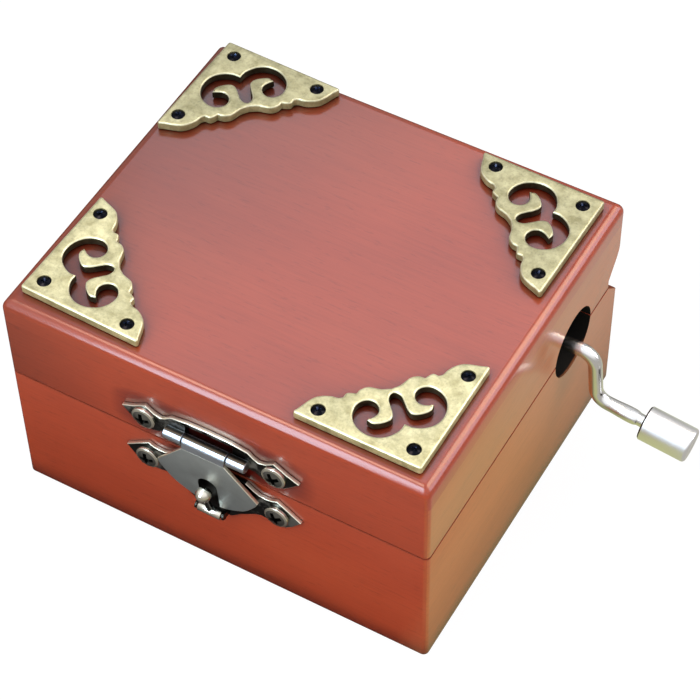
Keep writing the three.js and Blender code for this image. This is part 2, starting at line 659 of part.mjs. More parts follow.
addPart("comb_block", "castFrame", inPlace(cut(
  block([combBackX, combBlockFrontX], combBlockY, [bedThickness, combBottom]), ...combHoles)));
const combOutline = [[combBackX, combBlockY[1]], [combBackX, combBlockY[0]]];
for (let i = 0; i < trackCount; i++) {
  const y = firstTrackY + i * trackPitch;
  const root = THREE.MathUtils.lerp(...combRootXs, i / (trackCount - 1));
  const edges = [y - combToothWidth / 2, y + combToothWidth / 2];
  const starts = [i ? edges[0] : combBlockY[0], i < trackCount - 1 ? edges[1] : combBlockY[1]];
  combOutline.push([root, starts[0]]);
  if (!i) combOutline.push([root, edges[0]]);
  combOutline.push([combTipX, edges[0]], [combTipX, edges[1]]);
  if (i === trackCount - 1) combOutline.push([root, edges[1]]);
  combOutline.push([root, starts[1]]);
}
const combPlate = plate(combOutline, combThickness).translate(0, 0, combBottom);
addPart("comb", "steel", inPlace(cut(combPlate, ...combHoles)));
combScrewPlaces.forEach(([x, y], index) => {
  const screw = domedScrew(combScrew).translate(x, y, combBottom + combThickness);
  addPart(`comb_screw_${index + 1}`, "steel", inPlace(screw));
});

// Pinned cylinder: every track carries its pins at turns that never line up with its neighbour's
const drum = barAlongY(cylinderRadius, cylinderSpan, 0, arborHeight, drumSides);
const pins = [];
for (let track = 0; track < trackCount; track++) {
  for (let i = 0; i < pinsPerTrack; i++) {
    const turn = (track * goldenTurnShare + (i + track % 2 / 2) / pinsPerTrack) * Math.PI * 2;
    const foot = cylinderRadius - pinHeight;
    const pin = block(
      [-pinWidth / 2, pinWidth / 2], [-pinWidth / 2, pinWidth / 2], [foot, cylinderRadius + pinHeight]);
    pins.push(pin.rotateY(turn).translate(0, firstTrackY + track * trackPitch, arborHeight));
  }
}
const arborFit = barAlongY(arborRadius + pressGap, [-boxDepth, boxDepth], 0, arborHeight, boreSides);
addPart("pinned_cylinder", "brass", inPlace(cut(join(drum, ...pins), arborFit)));
addPart("cylinder_arbor", "steel", inPlace(barAlongY(arborRadius, arborSpan, 0, arborHeight, boreSides)));

// Wheel: its teeth are twisted to follow the worm's lead
const leadSlope = wormLead / (2 * Math.PI * wormPitchRadius);
const gearRings = [-gearWidth / 2, 0, gearWidth / 2].map((offset) => {
  const twist = leadSlope * offset / gearPitchRadius;
  const ring = [];
  for (let i = 0; i < gearTeeth; i++) {
    const middle = (i + 1 / 2) * 2 * Math.PI / gearTeeth + twist;
    const rootTurn = toothRootShare * Math.PI / gearTeeth;
    const tipTurn = toothTipShare * Math.PI / gearTeeth;
    const rootRadius = gearPitchRadius - gearDedendum;
    const tipRadius = gearPitchRadius + gearAddendum;
    const corners = [
      [rootRadius, middle - rootTurn], [tipRadius, middle - tipTurn], [tipRadius, middle + tipTurn],
      [rootRadius, middle + rootTurn],
    ];
    corners.forEach(([r, turn]) => ring.push(new THREE.Vector3(r * Math.cos(turn), r * Math.sin(turn), offset)));
  }
  return ring;
});
const wheel = loft(gearRings).applyMatrix4(profileAlongY).translate(0, 0, arborHeight);
addPart("cylinder_wheel", "brass", inPlace(cut(wheel, arborFit)));

// Worm shaft: arbor, right-hand worm and the hub that the crank rod screws into
const wormBody = turned([
  [0, wormShaftStartX], [arborRadius, wormShaftStartX], [arborRadius, -wormHalfLength],
  [wormCoreRadius, -wormHalfLength], [wormCoreRadius, wormHalfLength], [arborRadius, wormHalfLength],
  [arborRadius, hubX[0]], [hubRadius, hubX[0]], [hubRadius, hubX[1]],
  [rodRadius + pressGap, hubX[1]], [rodRadius + pressGap, hubX[1] - socketDepth], [0, hubX[1] - socketDepth],
]).applyMatrix4(profileAlongX);
const threadTurns = 2 * wormThreadHalfLength / wormLead;
const threadRingCount = Math.ceil(threadTurns * threadSteps);
const threadRings = [];
for (let i = 0; i <= threadRingCount; i++) {
  const along = (i / threadRingCount * 2 - 1) * wormThreadHalfLength;
  const turn = along / wormLead * 2 * Math.PI - Math.PI / 2;
  const profile = [
    [-toothRootShare, wormThreadRootRadius], [toothRootShare, wormThreadRootRadius],
    [toothTipShare, wormTipRadius], [-toothTipShare, wormTipRadius],
  ];
  threadRings.push(profile.map(([share, r]) => new THREE.Vector3(
    along + share * wormLead / 2, r * Math.cos(turn), r * Math.sin(turn))));
}
const wormShaft = join(wormBody, loft(threadRings)).translate(0, 0, shaftAboveDeck);
addPart("worm_shaft", "steel", inPlace(wormShaft));

// Crank rod: straight, arm and handle joined by two bends, all in the plane of the shaft
const armDirection = new THREE.Vector3(Math.sin(crankArmLean), 0, -Math.cos(crankArmLean));
const handleDirection = new THREE.Vector3(Math.cos(crankHandleTilt), 0, -Math.sin(crankHandleTilt));
const firstCorner = new THREE.Vector3(halfWidth + crankCornerReach, shaftY, shaftHeight);
const secondCorner = firstCorner.clone().addScaledVector(armDirection, crankArmLength);
const rodStations = [];
function bendRod(corner, before, after) {
  const angle = before.angleTo(after);
  const tangent = rodBendRadius * Math.tan(angle / 2);
  const start = corner.clone().addScaledVector(before, -tangent);
  const inward = after.clone().addScaledVector(before, -after.dot(before)).normalize();
  for (let i = 0; i <= bendSteps; i++) {
    const turn = i / bendSteps * angle;
    const point = start.clone()
      .addScaledVector(before, rodBendRadius * Math.sin(turn))
      .addScaledVector(inward, rodBendRadius * (1 - Math.cos(turn)));
    const direction = before.clone().multiplyScalar(Math.cos(turn)).addScaledVector(inward, Math.sin(turn));
    rodStations.push({ point, direction, across: rodRadius, inPlane: rodRadius });
  }
}

const rodStartX = cylinderX + hubX[1] - socketDepth + screwGap;
const rodStart = new THREE.Vector3(rodStartX, shaftY, shaftHeight);
rodStations.push({ point: rodStart, direction: xAxis, across: rodRadius, inPlane: rodRadius });
bendRod(firstCorner, xAxis, armDirection);
bendRod(secondCorner, armDirection, handleDirection);
const rodEnd = knobSpan[1] - knobEndWall - screwGap;
const handleTable = [
  [swageSpan[0] - swageEase, rodRadius, rodRadius], [swageSpan[0], swageHalfWidth, swageHalfThickness],
  [swageSpan[1], swageHalfWidth, swageHalfThickness], [swageSpan[1] + swageEase, rodRadius, rodRadius],
  [rodEnd, rodRadius, rodRadius],
];
handleTable.forEach(([distance, across, inPlane]) => {
  const point = secondCorner.clone().addScaledVector(handleDirection, distance);
  rodStations.push({ point, direction: handleDirection, across, inPlane });
});
addPart("crank_rod", "nickel", loft(rodStations.map(({ point, direction, across, inPlane }) => {
  const normal = direction.clone().cross(yAxis);
  const ring = [];
  for (let k = 0; k < boreSides; k++) {
    const turn = k / boreSides * 2 * Math.PI;
    ring.push(point.clone()
      .addScaledVector(yAxis, across * Math.cos(turn))
      .addScaledVector(normal, inPlane * Math.sin(turn)));
  }
  return ring;
})));

const knobBore = rodRadius + knobRunningGap;
const [knobStart, knobEnd] = knobSpan;
const knobProfile = [
  [knobBore, knobStart], [knobRadius - knobInnerChamfer, knobStart],
  [knobRadius, knobStart + knobInnerChamfer],
];
for (let i = 0; i <= cornerSteps; i++) {
  const turn = i / cornerSteps * Math.PI / 2;
  knobProfile.push([
    knobRadius - knobEndRound * (1 - Math.cos(turn)), knobEnd - knobEndRound * (1 - Math.sin(turn)),
  ]);
}
knobProfile.push([0, knobEnd], [0, knobEnd - knobEndWall], [knobBore, knobEnd - knobEndWall]);
knobProfile.push(knobProfile[0]);
const handleTurn = new THREE.Quaternion().setFromUnitVectors(zAxis, handleDirection);
addPart("crank_knob", "nickel", turned(knobProfile, holeSides)
  .applyQuaternion(handleTurn)
  .translate(...secondCorner));

export default group;
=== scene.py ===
"""Looks and scene for the hand-cranked wooden music box.

Sizes of pieces are in millimetres, and MM turns them into metres. Places and texture scales inside a
material, the stage and the lamps are in metres.
"""

import math

import bmesh
import bpy
from mathutils import Matrix, Vector


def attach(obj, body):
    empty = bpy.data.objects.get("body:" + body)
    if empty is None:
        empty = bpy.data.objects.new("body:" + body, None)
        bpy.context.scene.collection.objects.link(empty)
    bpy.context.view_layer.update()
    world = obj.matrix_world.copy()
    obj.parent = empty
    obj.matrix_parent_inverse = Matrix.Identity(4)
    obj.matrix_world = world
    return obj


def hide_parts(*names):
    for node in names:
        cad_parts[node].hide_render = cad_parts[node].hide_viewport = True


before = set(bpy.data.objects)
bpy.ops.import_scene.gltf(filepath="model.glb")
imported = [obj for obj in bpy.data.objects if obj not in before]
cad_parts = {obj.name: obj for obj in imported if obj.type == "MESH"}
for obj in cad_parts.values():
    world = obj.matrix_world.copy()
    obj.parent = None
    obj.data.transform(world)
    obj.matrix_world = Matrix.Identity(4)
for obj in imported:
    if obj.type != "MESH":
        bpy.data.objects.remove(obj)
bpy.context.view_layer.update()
MM = 0.001

# Case, in the CAD model's own sizes
HALF_W, HALF_D, HEIGHT = 43.0, 37.25, 50.0
WALL, PANEL_Z = 6.5, 45.0
SEAM, SEAM_GAP = 30.5, 0.3
LID_Z = SEAM + SEAM_GAP
EDGE_R, TOP_R, SEAM_R, FOOT_R = 1.1, 2.0, 0.15, 0.5
GROOVE_DEPTH, LIP_DEPTH, LIP_RISE = 4.5, 4.6, 2.0
GROOVE_Y, LIP_Y, LIP_Z = HALF_D - GROOVE_DEPTH, HALF_D - LIP_DEPTH, LID_Z + LIP_RISE
HOLE_R, HOLE_Y = 7.1, 18.2
LEAF_X, LEAF_HALF, LEAF_SINK = 24, 8, 0.6
# How far a cutter reaches to the sides and up, down, and behind the case
FAR, BELOW, BEHIND = 60, -5, HALF_D + 6

# Angles in degrees over which an edge is shaded sharp
SHARP, SHARP_WOOD, SHARP_PLATE, SHARP_ROD, SHARP_LEVER, SHARP_BALL = 35, 30, 40, 45, 50, 80
TINY = 1e-6
# Distances in metres within which points are welded
WELD, PLATE_WELD = 1e-7, 2e-6


# Mesh helpers
def link(thing):
    bpy.context.scene.collection.objects.link(thing)
    return thing


def drop(*things):
    for thing in things:
        bpy.data.objects.remove(thing)


def place(thing, matrix):
    thing.data.transform(matrix)
    thing.data.update()
    return thing


def mm_matrix(x, y, z):
    return Matrix.Translation(Vector((x, y, z)) * MM)


def turns(angle, steps):
    """Equal steps from zero to the angle, with both ends."""
    return [i / steps * angle for i in range(steps + 1)]


def shade(thing, sharp):
    mesh = thing.data
    mesh.polygons.foreach_set("use_smooth", [True] * len(mesh.polygons))
    mesh.set_sharp_from_angle(angle=math.radians(sharp))


def weld(mesh, distance):
    work = bmesh.new()
    work.from_mesh(mesh)
    bmesh.ops.remove_doubles(work, verts=work.verts, dist=distance)
    bmesh.ops.recalc_face_normals(work, faces=work.faces)
    work.to_mesh(mesh)
    work.free()


def new_object(name, verts, faces, sharp=SHARP):
    mesh = bpy.data.meshes.new(name)
    mesh.from_pydata([Vector(v) * MM for v in verts], [], faces)
    mesh.validate()
    weld(mesh, WELD)
    thing = link(bpy.data.objects.new(name, mesh))
    shade(thing, sharp)
    return thing


def bake(thing, sharp):
    """Replaces the object's data by its evaluated mesh, with every modifier applied."""
    graph = bpy.context.evaluated_depsgraph_get()
    mesh = bpy.data.meshes.new_from_object(thing.evaluated_get(graph))
    name = thing.name
    if thing.type == "MESH":
        thing.modifiers.clear()
        thing.data = mesh
        result = thing
    else:
        drop(thing)
        result = link(bpy.data.objects.new(name, mesh))
    shade(result, sharp)
    return result


def loft(name, rings, sharp=SHARP):
    """A closed solid through rings of equally many points."""
    count = len(rings[0])
    verts = [point for ring in rings for point in ring]
    faces = []
    for i in range(len(rings) - 1):
        for k in range(count):
            a, b = i * count + k, i * count + (k + 1) % count
            faces.append((a, b, b + count, a + count))
    faces.append(tuple(range(count)))
    faces.append(tuple(range((len(rings) - 1) * count, len(rings) * count)))
    return new_object(name, verts, faces, sharp)


def along_x(name, profile, x0, x1):
    """A prism with a profile of (y, z) between two places on X."""
    return loft(name, [[(x, y, z) for y, z in profile] for x in (x0, x1)])


def lathe(name, profile, sides=48, sharp=SHARP):
    """Profile of (radius, height) turned about Z; ends on the axis close themselves."""
    verts, rows = [], []
    for r, h in profile:
        if r < TINY:
            rows.append([len(verts)] * sides)
            verts.append((0, 0, h))
        else:
            rows.append(list(range(len(verts), len(verts) + sides)))
            angles = [2 * math.pi * k / sides for k in range(sides)]
            verts += [(r * math.cos(t), r * math.sin(t), h) for t in angles]
    faces = []
    for low, high in zip(rows, rows[1:]):
        for k in range(sides):
            n = (k + 1) % sides
            face = []
            for v in (low[k], low[n], high[n], high[k]):
                if v not in face:
                    face.append(v)
            if len(face) > 2:
                faces.append(tuple(face))
    return new_object(name, verts, faces, sharp)


def box(name, lo, hi):
    verts = [(x, y, z) for z in (lo[2], hi[2]) for y in (lo[1], hi[1]) for x in (lo[0], hi[0])]
    faces = [(0, 2, 3, 1), (4, 5, 7, 6), (0, 1, 5, 4), (2, 6, 7, 3), (0, 4, 6, 2), (1, 3, 7, 5)]
    return new_object(name, verts, faces)


def combine(thing, tools, operation="DIFFERENCE", sharp=SHARP):
    for tool in tools:
        modifier = thing.modifiers.new("cut", "BOOLEAN")
        modifier.operation = operation
        modifier.solver = "EXACT"
        modifier.object = tool
        bpy.context.view_layer.update()
        bake(thing, sharp)
    return thing


def join_into(thing, others, sharp=SHARP):
    combine(thing, others, "UNION", sharp)
    drop(*others)
    return thing


def plate(name, outline, holes, thickness, bevel):
    """Flat plate on Z = 0 with rounded edges, from a filled 2D curve with its holes."""
    curve = bpy.data.curves.new(name, "CURVE")
    curve.dimensions = "2D"
    curve.fill_mode = "BOTH"
    curve.extrude = (thickness / 2 - bevel) * MM
    curve.bevel_depth = bevel * MM
    curve.bevel_resolution = 3
    curve.offset = -bevel * MM
    for points in [outline] + holes:
        spline = curve.splines.new("POLY")
        spline.points.add(len(points) - 1)
        for point, (x, y) in zip(spline.points, points):
            point.co = (x * MM, y * MM, 0, 1)
        spline.use_cyclic_u = True
    thing = link(bpy.data.objects.new(name, curve))
    bpy.context.view_layer.update()
    thing = bake(thing, SHARP_PLATE)
    weld(thing.data, PLATE_WELD)
    shade(thing, SHARP_PLATE)
    return place(thing, mm_matrix(0, 0, thickness / 2))


def catmull(points, steps, corners=()):
    """A smooth open curve through the points; those whose indices are in corners stay sharp."""
    total, out = len(points), []
    for i in range(total - 1):
        p1, p2 = Vector(points[i]), Vector(points[i + 1])
        before = Vector(points[i - 1]) if i > 0 and i not in corners else p1 * 2 - p2
        after = Vector(points[i + 2]) if i + 2 < total and i + 1 not in corners else p2 * 2 - p1
        for k in range(steps):
            t = k / steps
            p = 0.5 * ((2 * p1) + (p2 - before) * t + (2 * before - 5 * p1 + 4 * p2 - after) * t * t
                       + (3 * p1 - before - 3 * p2 + after) * t ** 3)
            out.append(tuple(p))
    out.append(tuple(points[-1]))
    return out


def rounded(radius, z, up, steps=4):
    """Insets and heights of a quarter round that ends at height z."""
    angles = turns(math.pi / 2, steps)
    return [(radius * (1 - math.cos(t)), z - up * radius * (1 - math.sin(t))) for t in angles]


def copy_piece(master, name, matrix):
    return place(link(bpy.data.objects.new(name, master.data.copy())), matrix)


def paint(thing, materials, zone=lambda centre, normal: 0):
    """Gives each face a material; zone returns its index from the face's centre, in mm, and normal."""
    thing.data.materials.clear()
    for material in materials:
        thing.data.materials.append(material)
    for face in thing.data.polygons:
        face.material_index = zone(face.center / MM, face.normal)


def finish_piece(thing, body, node):
    """Puts the piece on its body in place of its CAD node, which it hides."""
    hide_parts(node)
    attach(thing, body)


# Materials
class Nodes:
    """A short way to write the node tree of a material or a world."""

    def __init__(self, owner):
        owner.use_nodes = True
        self.owner = owner
        self.tree = owner.node_tree
        self.shader = self.tree.nodes.get("Principled BSDF") or self.tree.nodes["Background"]

    def add(self, kind, **settings):
        node = self.tree.nodes.new(kind)
        for key, value in settings.items():
            setattr(node, key, value)
        return node

    def feed(self, socket, value):
        """Sets a socket to a number or a colour, or links another socket to it."""
        if isinstance(value, (int, float)):
            socket.default_value = value
        elif isinstance(value, tuple):
            socket.default_value = (*value, 1)
        else:
            self.tree.links.new(value, socket)

    def surface(self, **inputs):
        for key, value in inputs.items():
            self.feed(self.shader.inputs[key.replace("_", " ")], value)

    def position(self, kind="Object"):
        """The X, Y and Z of the texture coordinates."""
        split = self.add("ShaderNodeSeparateXYZ")
        self.feed(split.inputs["Vector"], self.add("ShaderNodeTexCoord").outputs[kind])
        return split.outputs

    def coords(self, scale, shift=(0, 0, 0)):
        mapping = self.add("ShaderNodeMapping")
        mapping.inputs["Scale"].default_value = scale
        mapping.inputs["Location"].default_value = shift
        self.feed(mapping.inputs["Vector"], self.add("ShaderNodeTexCoord").outputs["Object"])
        return mapping.outputs["Vector"]

    def noise(self, vector, scale=1.0, detail=4.0, roughness=0.5, distortion=0.0):
        node = self.add("ShaderNodeTexNoise")
        node.inputs["Scale"].default_value = scale
        node.inputs["Detail"].default_value = detail
        node.inputs["Roughness"].default_value = roughness
        node.inputs["Distortion"].default_value = distortion
        self.feed(node.inputs["Vector"], vector)
        return node.outputs["Fac"]

    def ramp(self, factor, stops):
        """Colours, or greys given as one number, at places between 0 and 1."""
        node = self.add("ShaderNodeValToRGB")
        elements = node.color_ramp.elements
        while len(elements) < len(stops):
            elements.new(0.5)
        for element, (at, colour) in zip(elements, stops):
            element.position = at
            element.color = (*(colour if isinstance(colour, tuple) else grey(colour)), 1)
        self.feed(node.inputs["Fac"], factor)
        return node.outputs["Color"]

    def mix(self, kind, factor, a, b):
        node = self.add("ShaderNodeMix", data_type="RGBA", blend_type=kind)
        for socket, value in zip((node.inputs[0], node.inputs[6], node.inputs[7]), (factor, a, b)):
            self.feed(socket, value)
        return node.outputs[2]

    def tint(self, colour, by, factor=1.0):
        """Multiplies the colour by another, wholly or by a part."""
        return self.mix("MULTIPLY", factor, colour, by)

    def math(self, kind, a, b=0.0, clamp=False):
        node = self.add("ShaderNodeMath", operation=kind, use_clamp=clamp)
        self.feed(node.inputs[0], a)
        self.feed(node.inputs[1], b)
        return node.outputs[0]

    def scaled(self, value, scale, shift):
        return self.math("ADD", self.math("MULTIPLY", value, scale), shift)

    def fade(self, value, start, slope):
        """From 0 at start up to 1 on the side that the sign of the slope gives."""
        return self.math("MULTIPLY", self.math("SUBTRACT", value, start), slope, clamp=True)

    def varied(self, value, low, high):
        node = self.add("ShaderNodeMapRange")
        self.feed(node.inputs["Value"], value)
        node.inputs["To Min"].default_value = low
        node.inputs["To Max"].default_value = high
        return node.outputs["Result"]

    def bump(self, height, strength, distance, target="Normal"):
        node = self.add("ShaderNodeBump")
        node.inputs["Strength"].default_value = strength
        node.inputs["Distance"].default_value = distance
        self.feed(node.inputs["Height"], height)
        self.feed(self.shader.inputs[target], node.outputs["Normal"])


def material_nodes(name):
    return Nodes(bpy.data.materials.new(name))


def grey(value):
    return (value, value, value)


# Stain of the boards, from its dark to its light tone, and where each tone lies in the noise
STAIN = ((0.36, 0.042, 0.0095), (0.40, 0.050, 0.012), (0.43, 0.060, 0.016))
# Lighter, warmer stain for the right wall alone: painted light from the bright, warm surroundings on that
# side.
RIGHT_LIT_STAIN = ((0.42, 0.078, 0.015), (0.45, 0.088, 0.018), (0.48, 0.098, 0.022))
STAIN_STOPS = (0.3, 0.5, 0.72)
# Texture scales of the wood across and along its fibres, the tones of streaks and pores, and the painted
# shade of ambient occlusion in nooks and how far it reaches
FIBRES, FLECKS, CLOUDS, PEEL = (2400.0, 90.0), (4200.0, 620.0), (38.0, 16.0), 260.0
STREAKS, PORES = [(0.25, 0.88), (0.5, 0.98), (0.8, 1.06)], [(0.30, 0.66), (0.38, 1.0)]
NOOK_SHADE_TONES, NOOK_SHADE_REACH = [(0.3, (0.14, 0.08, 0.07)), (0.65, (0.55, 0.48, 0.47)), (0.93, 1.0)], 0.006
FIBRE_RELIEF, PEEL_RELIEF, PLY_RELIEF, PIT_RELIEF = 0.0001, 0.0004, 0.0002, 0.0001
# Painted shade: the wood darkens towards the lid's back left corner where the light falls off, round the hasp
# as painted shadow and reflection of its plates, and at the front's left end
TO_BACK_LEFT, BACK_LEFT_SHADE_TONES = (-9.0, 4.5, 0.0), [(0.5, 1.0), (1.0, (0.47, 0.56, 0.66))]
HASP_LEVEL, HASP_ACROSS, HASP_UP, HASP_SHARE = 0.0362, 55.0, 185.0, 0.3
HASP_SHADOW_TONES = [(0.10, (0.40, 0.15, 0.12)), (0.55, 1.0)]
LEFT_END, END_SCALE, LEFT_END_SHADE_TONES = 0.043, 28.0, [(0.05, 0.66), (0.6, 1.0)]


def stained_wood(name, grain, seed, painted_back_left_shade=False, painted_front_shade=False, tones=STAIN):
    """Reddish-brown stained beech under gloss lacquer. grain is the axis that the fibres follow.

    painted_back_left_shade darkens the lid towards its back left as painted shade; painted_front_shade paints
    shadow round the hasp and shade at the front's left end.
    """
    n = material_nodes(name)
    shift = (seed * 1.7, seed * 2.3, seed * 3.1)

    def grained(scales):
        across, along = scales
        return n.coords([along if axis == grain else across for axis in "XYZ"], shift)

    fibres = n.noise(grained(FIBRES), distortion=0.2)
    flecks = n.noise(grained(FLECKS), scale=0.6, detail=2.0)
    clouds = n.noise(grained(CLOUDS), detail=3.0, distortion=0.4)
    colour = n.ramp(clouds, list(zip(STAIN_STOPS, tones)))
    colour = n.tint(colour, n.ramp(fibres, STREAKS))
    colour = n.tint(colour, n.ramp(flecks, PORES), 0.5)
    # Painted shade: the lid's top darkens towards its back left, where the light falls off.
    if painted_back_left_shade:
        lean = n.add("ShaderNodeVectorMath", operation="DOT_PRODUCT")
        n.feed(lean.inputs[0], n.add("ShaderNodeTexCoord").outputs["Object"])
        lean.inputs[1].default_value = TO_BACK_LEFT
        back_left = n.math("ADD", lean.outputs["Value"], 0.5)
        colour = n.tint(colour, n.ramp(back_left, BACK_LEFT_SHADE_TONES))
    # Painted shadow and reflection of the hasp's plates on the lacquer round them, and painted shade at the
    # front's left end.
    if painted_front_shade:
        spot = n.position()
        across = n.math("POWER", n.math("MULTIPLY", spot["X"], HASP_ACROSS), 4.0)
        above = n.math("MULTIPLY", n.math("SUBTRACT", spot["Z"], HASP_LEVEL), HASP_UP)
        near = n.math("MULTIPLY", n.math("ADD", across, n.math("POWER", above, 4.0)), HASP_SHARE)
        colour = n.tint(colour, n.ramp(near, HASP_SHADOW_TONES))
        end = n.math("MULTIPLY", n.math("ADD", spot["X"], LEFT_END), END_SCALE)
        colour = n.tint(colour, n.ramp(end, LEFT_END_SHADE_TONES))
    # Painted shade: ambient occlusion darkens the wood in nooks, under the brackets and beside the hasp.
    nook_shade = n.add("ShaderNodeAmbientOcclusion", samples=6)
    nook_shade.inputs["Distance"].default_value = NOOK_SHADE_REACH
    colour = n.tint(colour, n.ramp(nook_shade.outputs["AO"], NOOK_SHADE_TONES))
    n.surface(Base_Color=colour, Roughness=0.42, Specular_IOR_Level=0.12, Coat_Weight=1.0,
              Coat_Roughness=0.17, Coat_IOR=1.5)
    n.bump(fibres, 0.08, FIBRE_RELIEF)
    n.bump(n.noise(n.coords(grey(PEEL)), detail=2.0), 0.05, PEEL_RELIEF, "Coat Normal")
    return n.owner


# Texture scales of the other woods and of the metals
SEAM_SCALE, PLY_FIBRES, PLY_CLOUDS = 900.0, (35.0, 900.0, 900.0), (25.0, 70.0, 70.0)
BORE_FIBRES = (400.0, 2400.0, 2400.0)
PLY_TONE, PLY_DARK_SHARE, PLY_LIGHT_SHARE = (0.50, 0.33, 0.17), 0.72, 1.15
METAL_FINE, METAL_BRUSHED, BRASS_CLOUDS, BRASS_FINE = 2600.0, (90.0, 2400.0, 2400.0), 420.0, 2300.0
# How far the roughness of a metal varies to both sides
GLOSSY_SHARE, DULL_SHARE, DULL_BRASS_SHARE = 0.8, 1.25, 1.2
# Painted shade along one axis: the catch's black middle behind the hasp's flap, and the brass darker towards
# the back where the light falls off
MIDDLE_SCALE, MIDDLE_SHADE_TONES = 50.0, [(0.38, 0.06), (0.47, 1.0)]
BACK_SCALE, BACK_SHADE_TONES = 10.0, [(0.35, 1.0), (0.7, 0.70)]


def seam_wood():
    """The thin stain in the roundings along the seam: dark, without lacquer."""
    n = material_nodes("seam_wood")
    fibres = n.noise(n.coords(grey(SEAM_SCALE)), detail=3.0)
    colour = n.ramp(fibres, [(0.3, (0.22, 0.040, 0.018)), (0.7, (0.28, 0.052, 0.024))])
    n.surface(Base_Color=colour, Roughness=0.7, Specular_IOR_Level=0.1)
    return n.owner


def plywood():
    """Bare plywood with its fibres along X."""
    n = material_nodes("plywood")
    fibres = n.noise(n.coords(PLY_FIBRES), detail=5.0, roughness=0.6, distortion=0.2)
    clouds = n.noise(n.coords(PLY_CLOUDS), detail=3.0)
    dark, light = (tuple(c * share for c in PLY_TONE) for share in (PLY_DARK_SHARE, PLY_LIGHT_SHARE))
    colour = n.ramp(fibres, [(0.25, dark), (0.75, light)])
    n.surface(Base_Color=n.tint(colour, n.ramp(clouds, [(0.3, 0.8), (0.7, 1.0)]), 0.5), Roughness=0.72)
    n.bump(fibres, 0.25, PLY_RELIEF)
    return n.owner


# Bounds of the painted light on the lip under the crank hole, in metres along X and Z, and their slopes
LIP_X, LIP_SLOPE = 0.0425, 3300.0
LOW_Z, LOW_SLOPE = 0.0258, -700.0


def bore_wood_painted_shade():
    """Painted shade: near-black end grain inside the crank hole, with painted light in the outer stain's tone
    just over its lower lip.
    """
    n = material_nodes("bore_wood_painted_shade")
    spot = n.position()
    fibres = n.noise(n.coords(BORE_FIBRES), detail=3.0)
    lip = n.math("MULTIPLY", n.fade(spot["X"], LIP_X, LIP_SLOPE), n.fade(spot["Z"], LOW_Z, LOW_SLOPE))
    dark = n.ramp(fibres, [(0.3, (0.0015, 0.001, 0.001)), (0.7, (0.004, 0.003, 0.002))])
    n.surface(Base_Color=n.mix("MIX", lip, dark, (0.40, 0.13, 0.05)), Roughness=0.75, Specular_IOR_Level=0.2)
    return n.owner


def metal(name, base, dark, roughness, spot=0.35, grain=0.04, cloud_scale=260.0, patches=(0.35, 0.7),
          middle=False, brushed=False):
    """Plated or cast metal with a mottled tone, fine pits and, where asked, brushed lines along X.

    middle paints shade on it, black for 8 mm either side of the case's middle, where the plate lies in shade
    behind the hasp's flap.
    """
    n = material_nodes(name)
    clouds = n.noise(n.coords(grey(cloud_scale)), detail=5.0, roughness=0.6)
    fine = n.noise(n.coords(grey(METAL_FINE)), detail=3.0, roughness=0.6)
    mottled = n.mix("MIX", n.ramp(clouds, [(patches[0], 0.0), (patches[1], 1.0)]), base, dark)
    colour = n.mix("MIX", spot, base, mottled)
    if middle:
        # Painted shade behind the flap.
        away = n.math("MULTIPLY", n.math("ABSOLUTE", n.position()["X"]), MIDDLE_SCALE)
        colour = n.tint(colour, n.ramp(away, MIDDLE_SHADE_TONES))
    rough = n.varied(fine, roughness * GLOSSY_SHARE, roughness * DULL_SHARE)
    n.surface(Base_Color=colour, Metallic=1.0, Roughness=rough)
    height = fine
    if brushed:
        height = n.mix("MIX", 0.7, fine, n.noise(n.coords(METAL_BRUSHED), detail=3.0, roughness=0.6))
    n.bump(height, grain, PIT_RELIEF)
    return n.owner


def antique_brass(name, light, middle, dark, roughness=0.45, metallic=0.85):
    """Antiqued brass: a cloudy tone between three colours, with fine dark pits and painted shade that darkens
    it towards the back.
    """
    n = material_nodes(name)
    clouds = n.noise(n.coords(grey(BRASS_CLOUDS)), detail=6.0, roughness=0.62)
    fine = n.noise(n.coords(grey(BRASS_FINE)), roughness=0.65)
    worn_and_back_shade = n.ramp(clouds, [(0.32, dark), (0.5, middle), (0.68, light)])
    # Painted shade: darker towards the back.
    worn_and_back_shade = n.tint(worn_and_back_shade, n.ramp(n.scaled(n.position()["Y"], BACK_SCALE, 0.5), BACK_SHADE_TONES))
    pits = n.ramp(fine, [(0.33, 0.62), (0.52, 1.0)])
    rough = n.varied(fine, roughness * GLOSSY_SHARE, roughness * DULL_BRASS_SHARE)
    n.surface(Base_Color=n.tint(worn_and_back_shade, pits, 0.6), Metallic=metallic, Roughness=rough)
    n.bump(fine, 0.2, PIT_RELIEF)
    return n.owner


WOOD_X = stained_wood("stained_wood_x", "X", 1)
WOOD_HASP_SHADOWED = stained_wood("stained_wood_hasp_painted_shadow", "X", 1, painted_front_shade=True)
WOOD_TOP_SHADED = stained_wood("stained_wood_top_painted_shade", "X", 4, painted_back_left_shade=True)
WOOD_Y = stained_wood("stained_wood_y", "Y", 7)
# Painted light: the right wall is a lit copy of the stain.
WOOD_RIGHT_LIT = stained_wood("stained_wood_right_painted_light", "Y", 9, tones=RIGHT_LIT_STAIN)
SEAM_WOOD = seam_wood()
PLY = plywood()
BORE_PAINTED_SHADE = bore_wood_painted_shade()

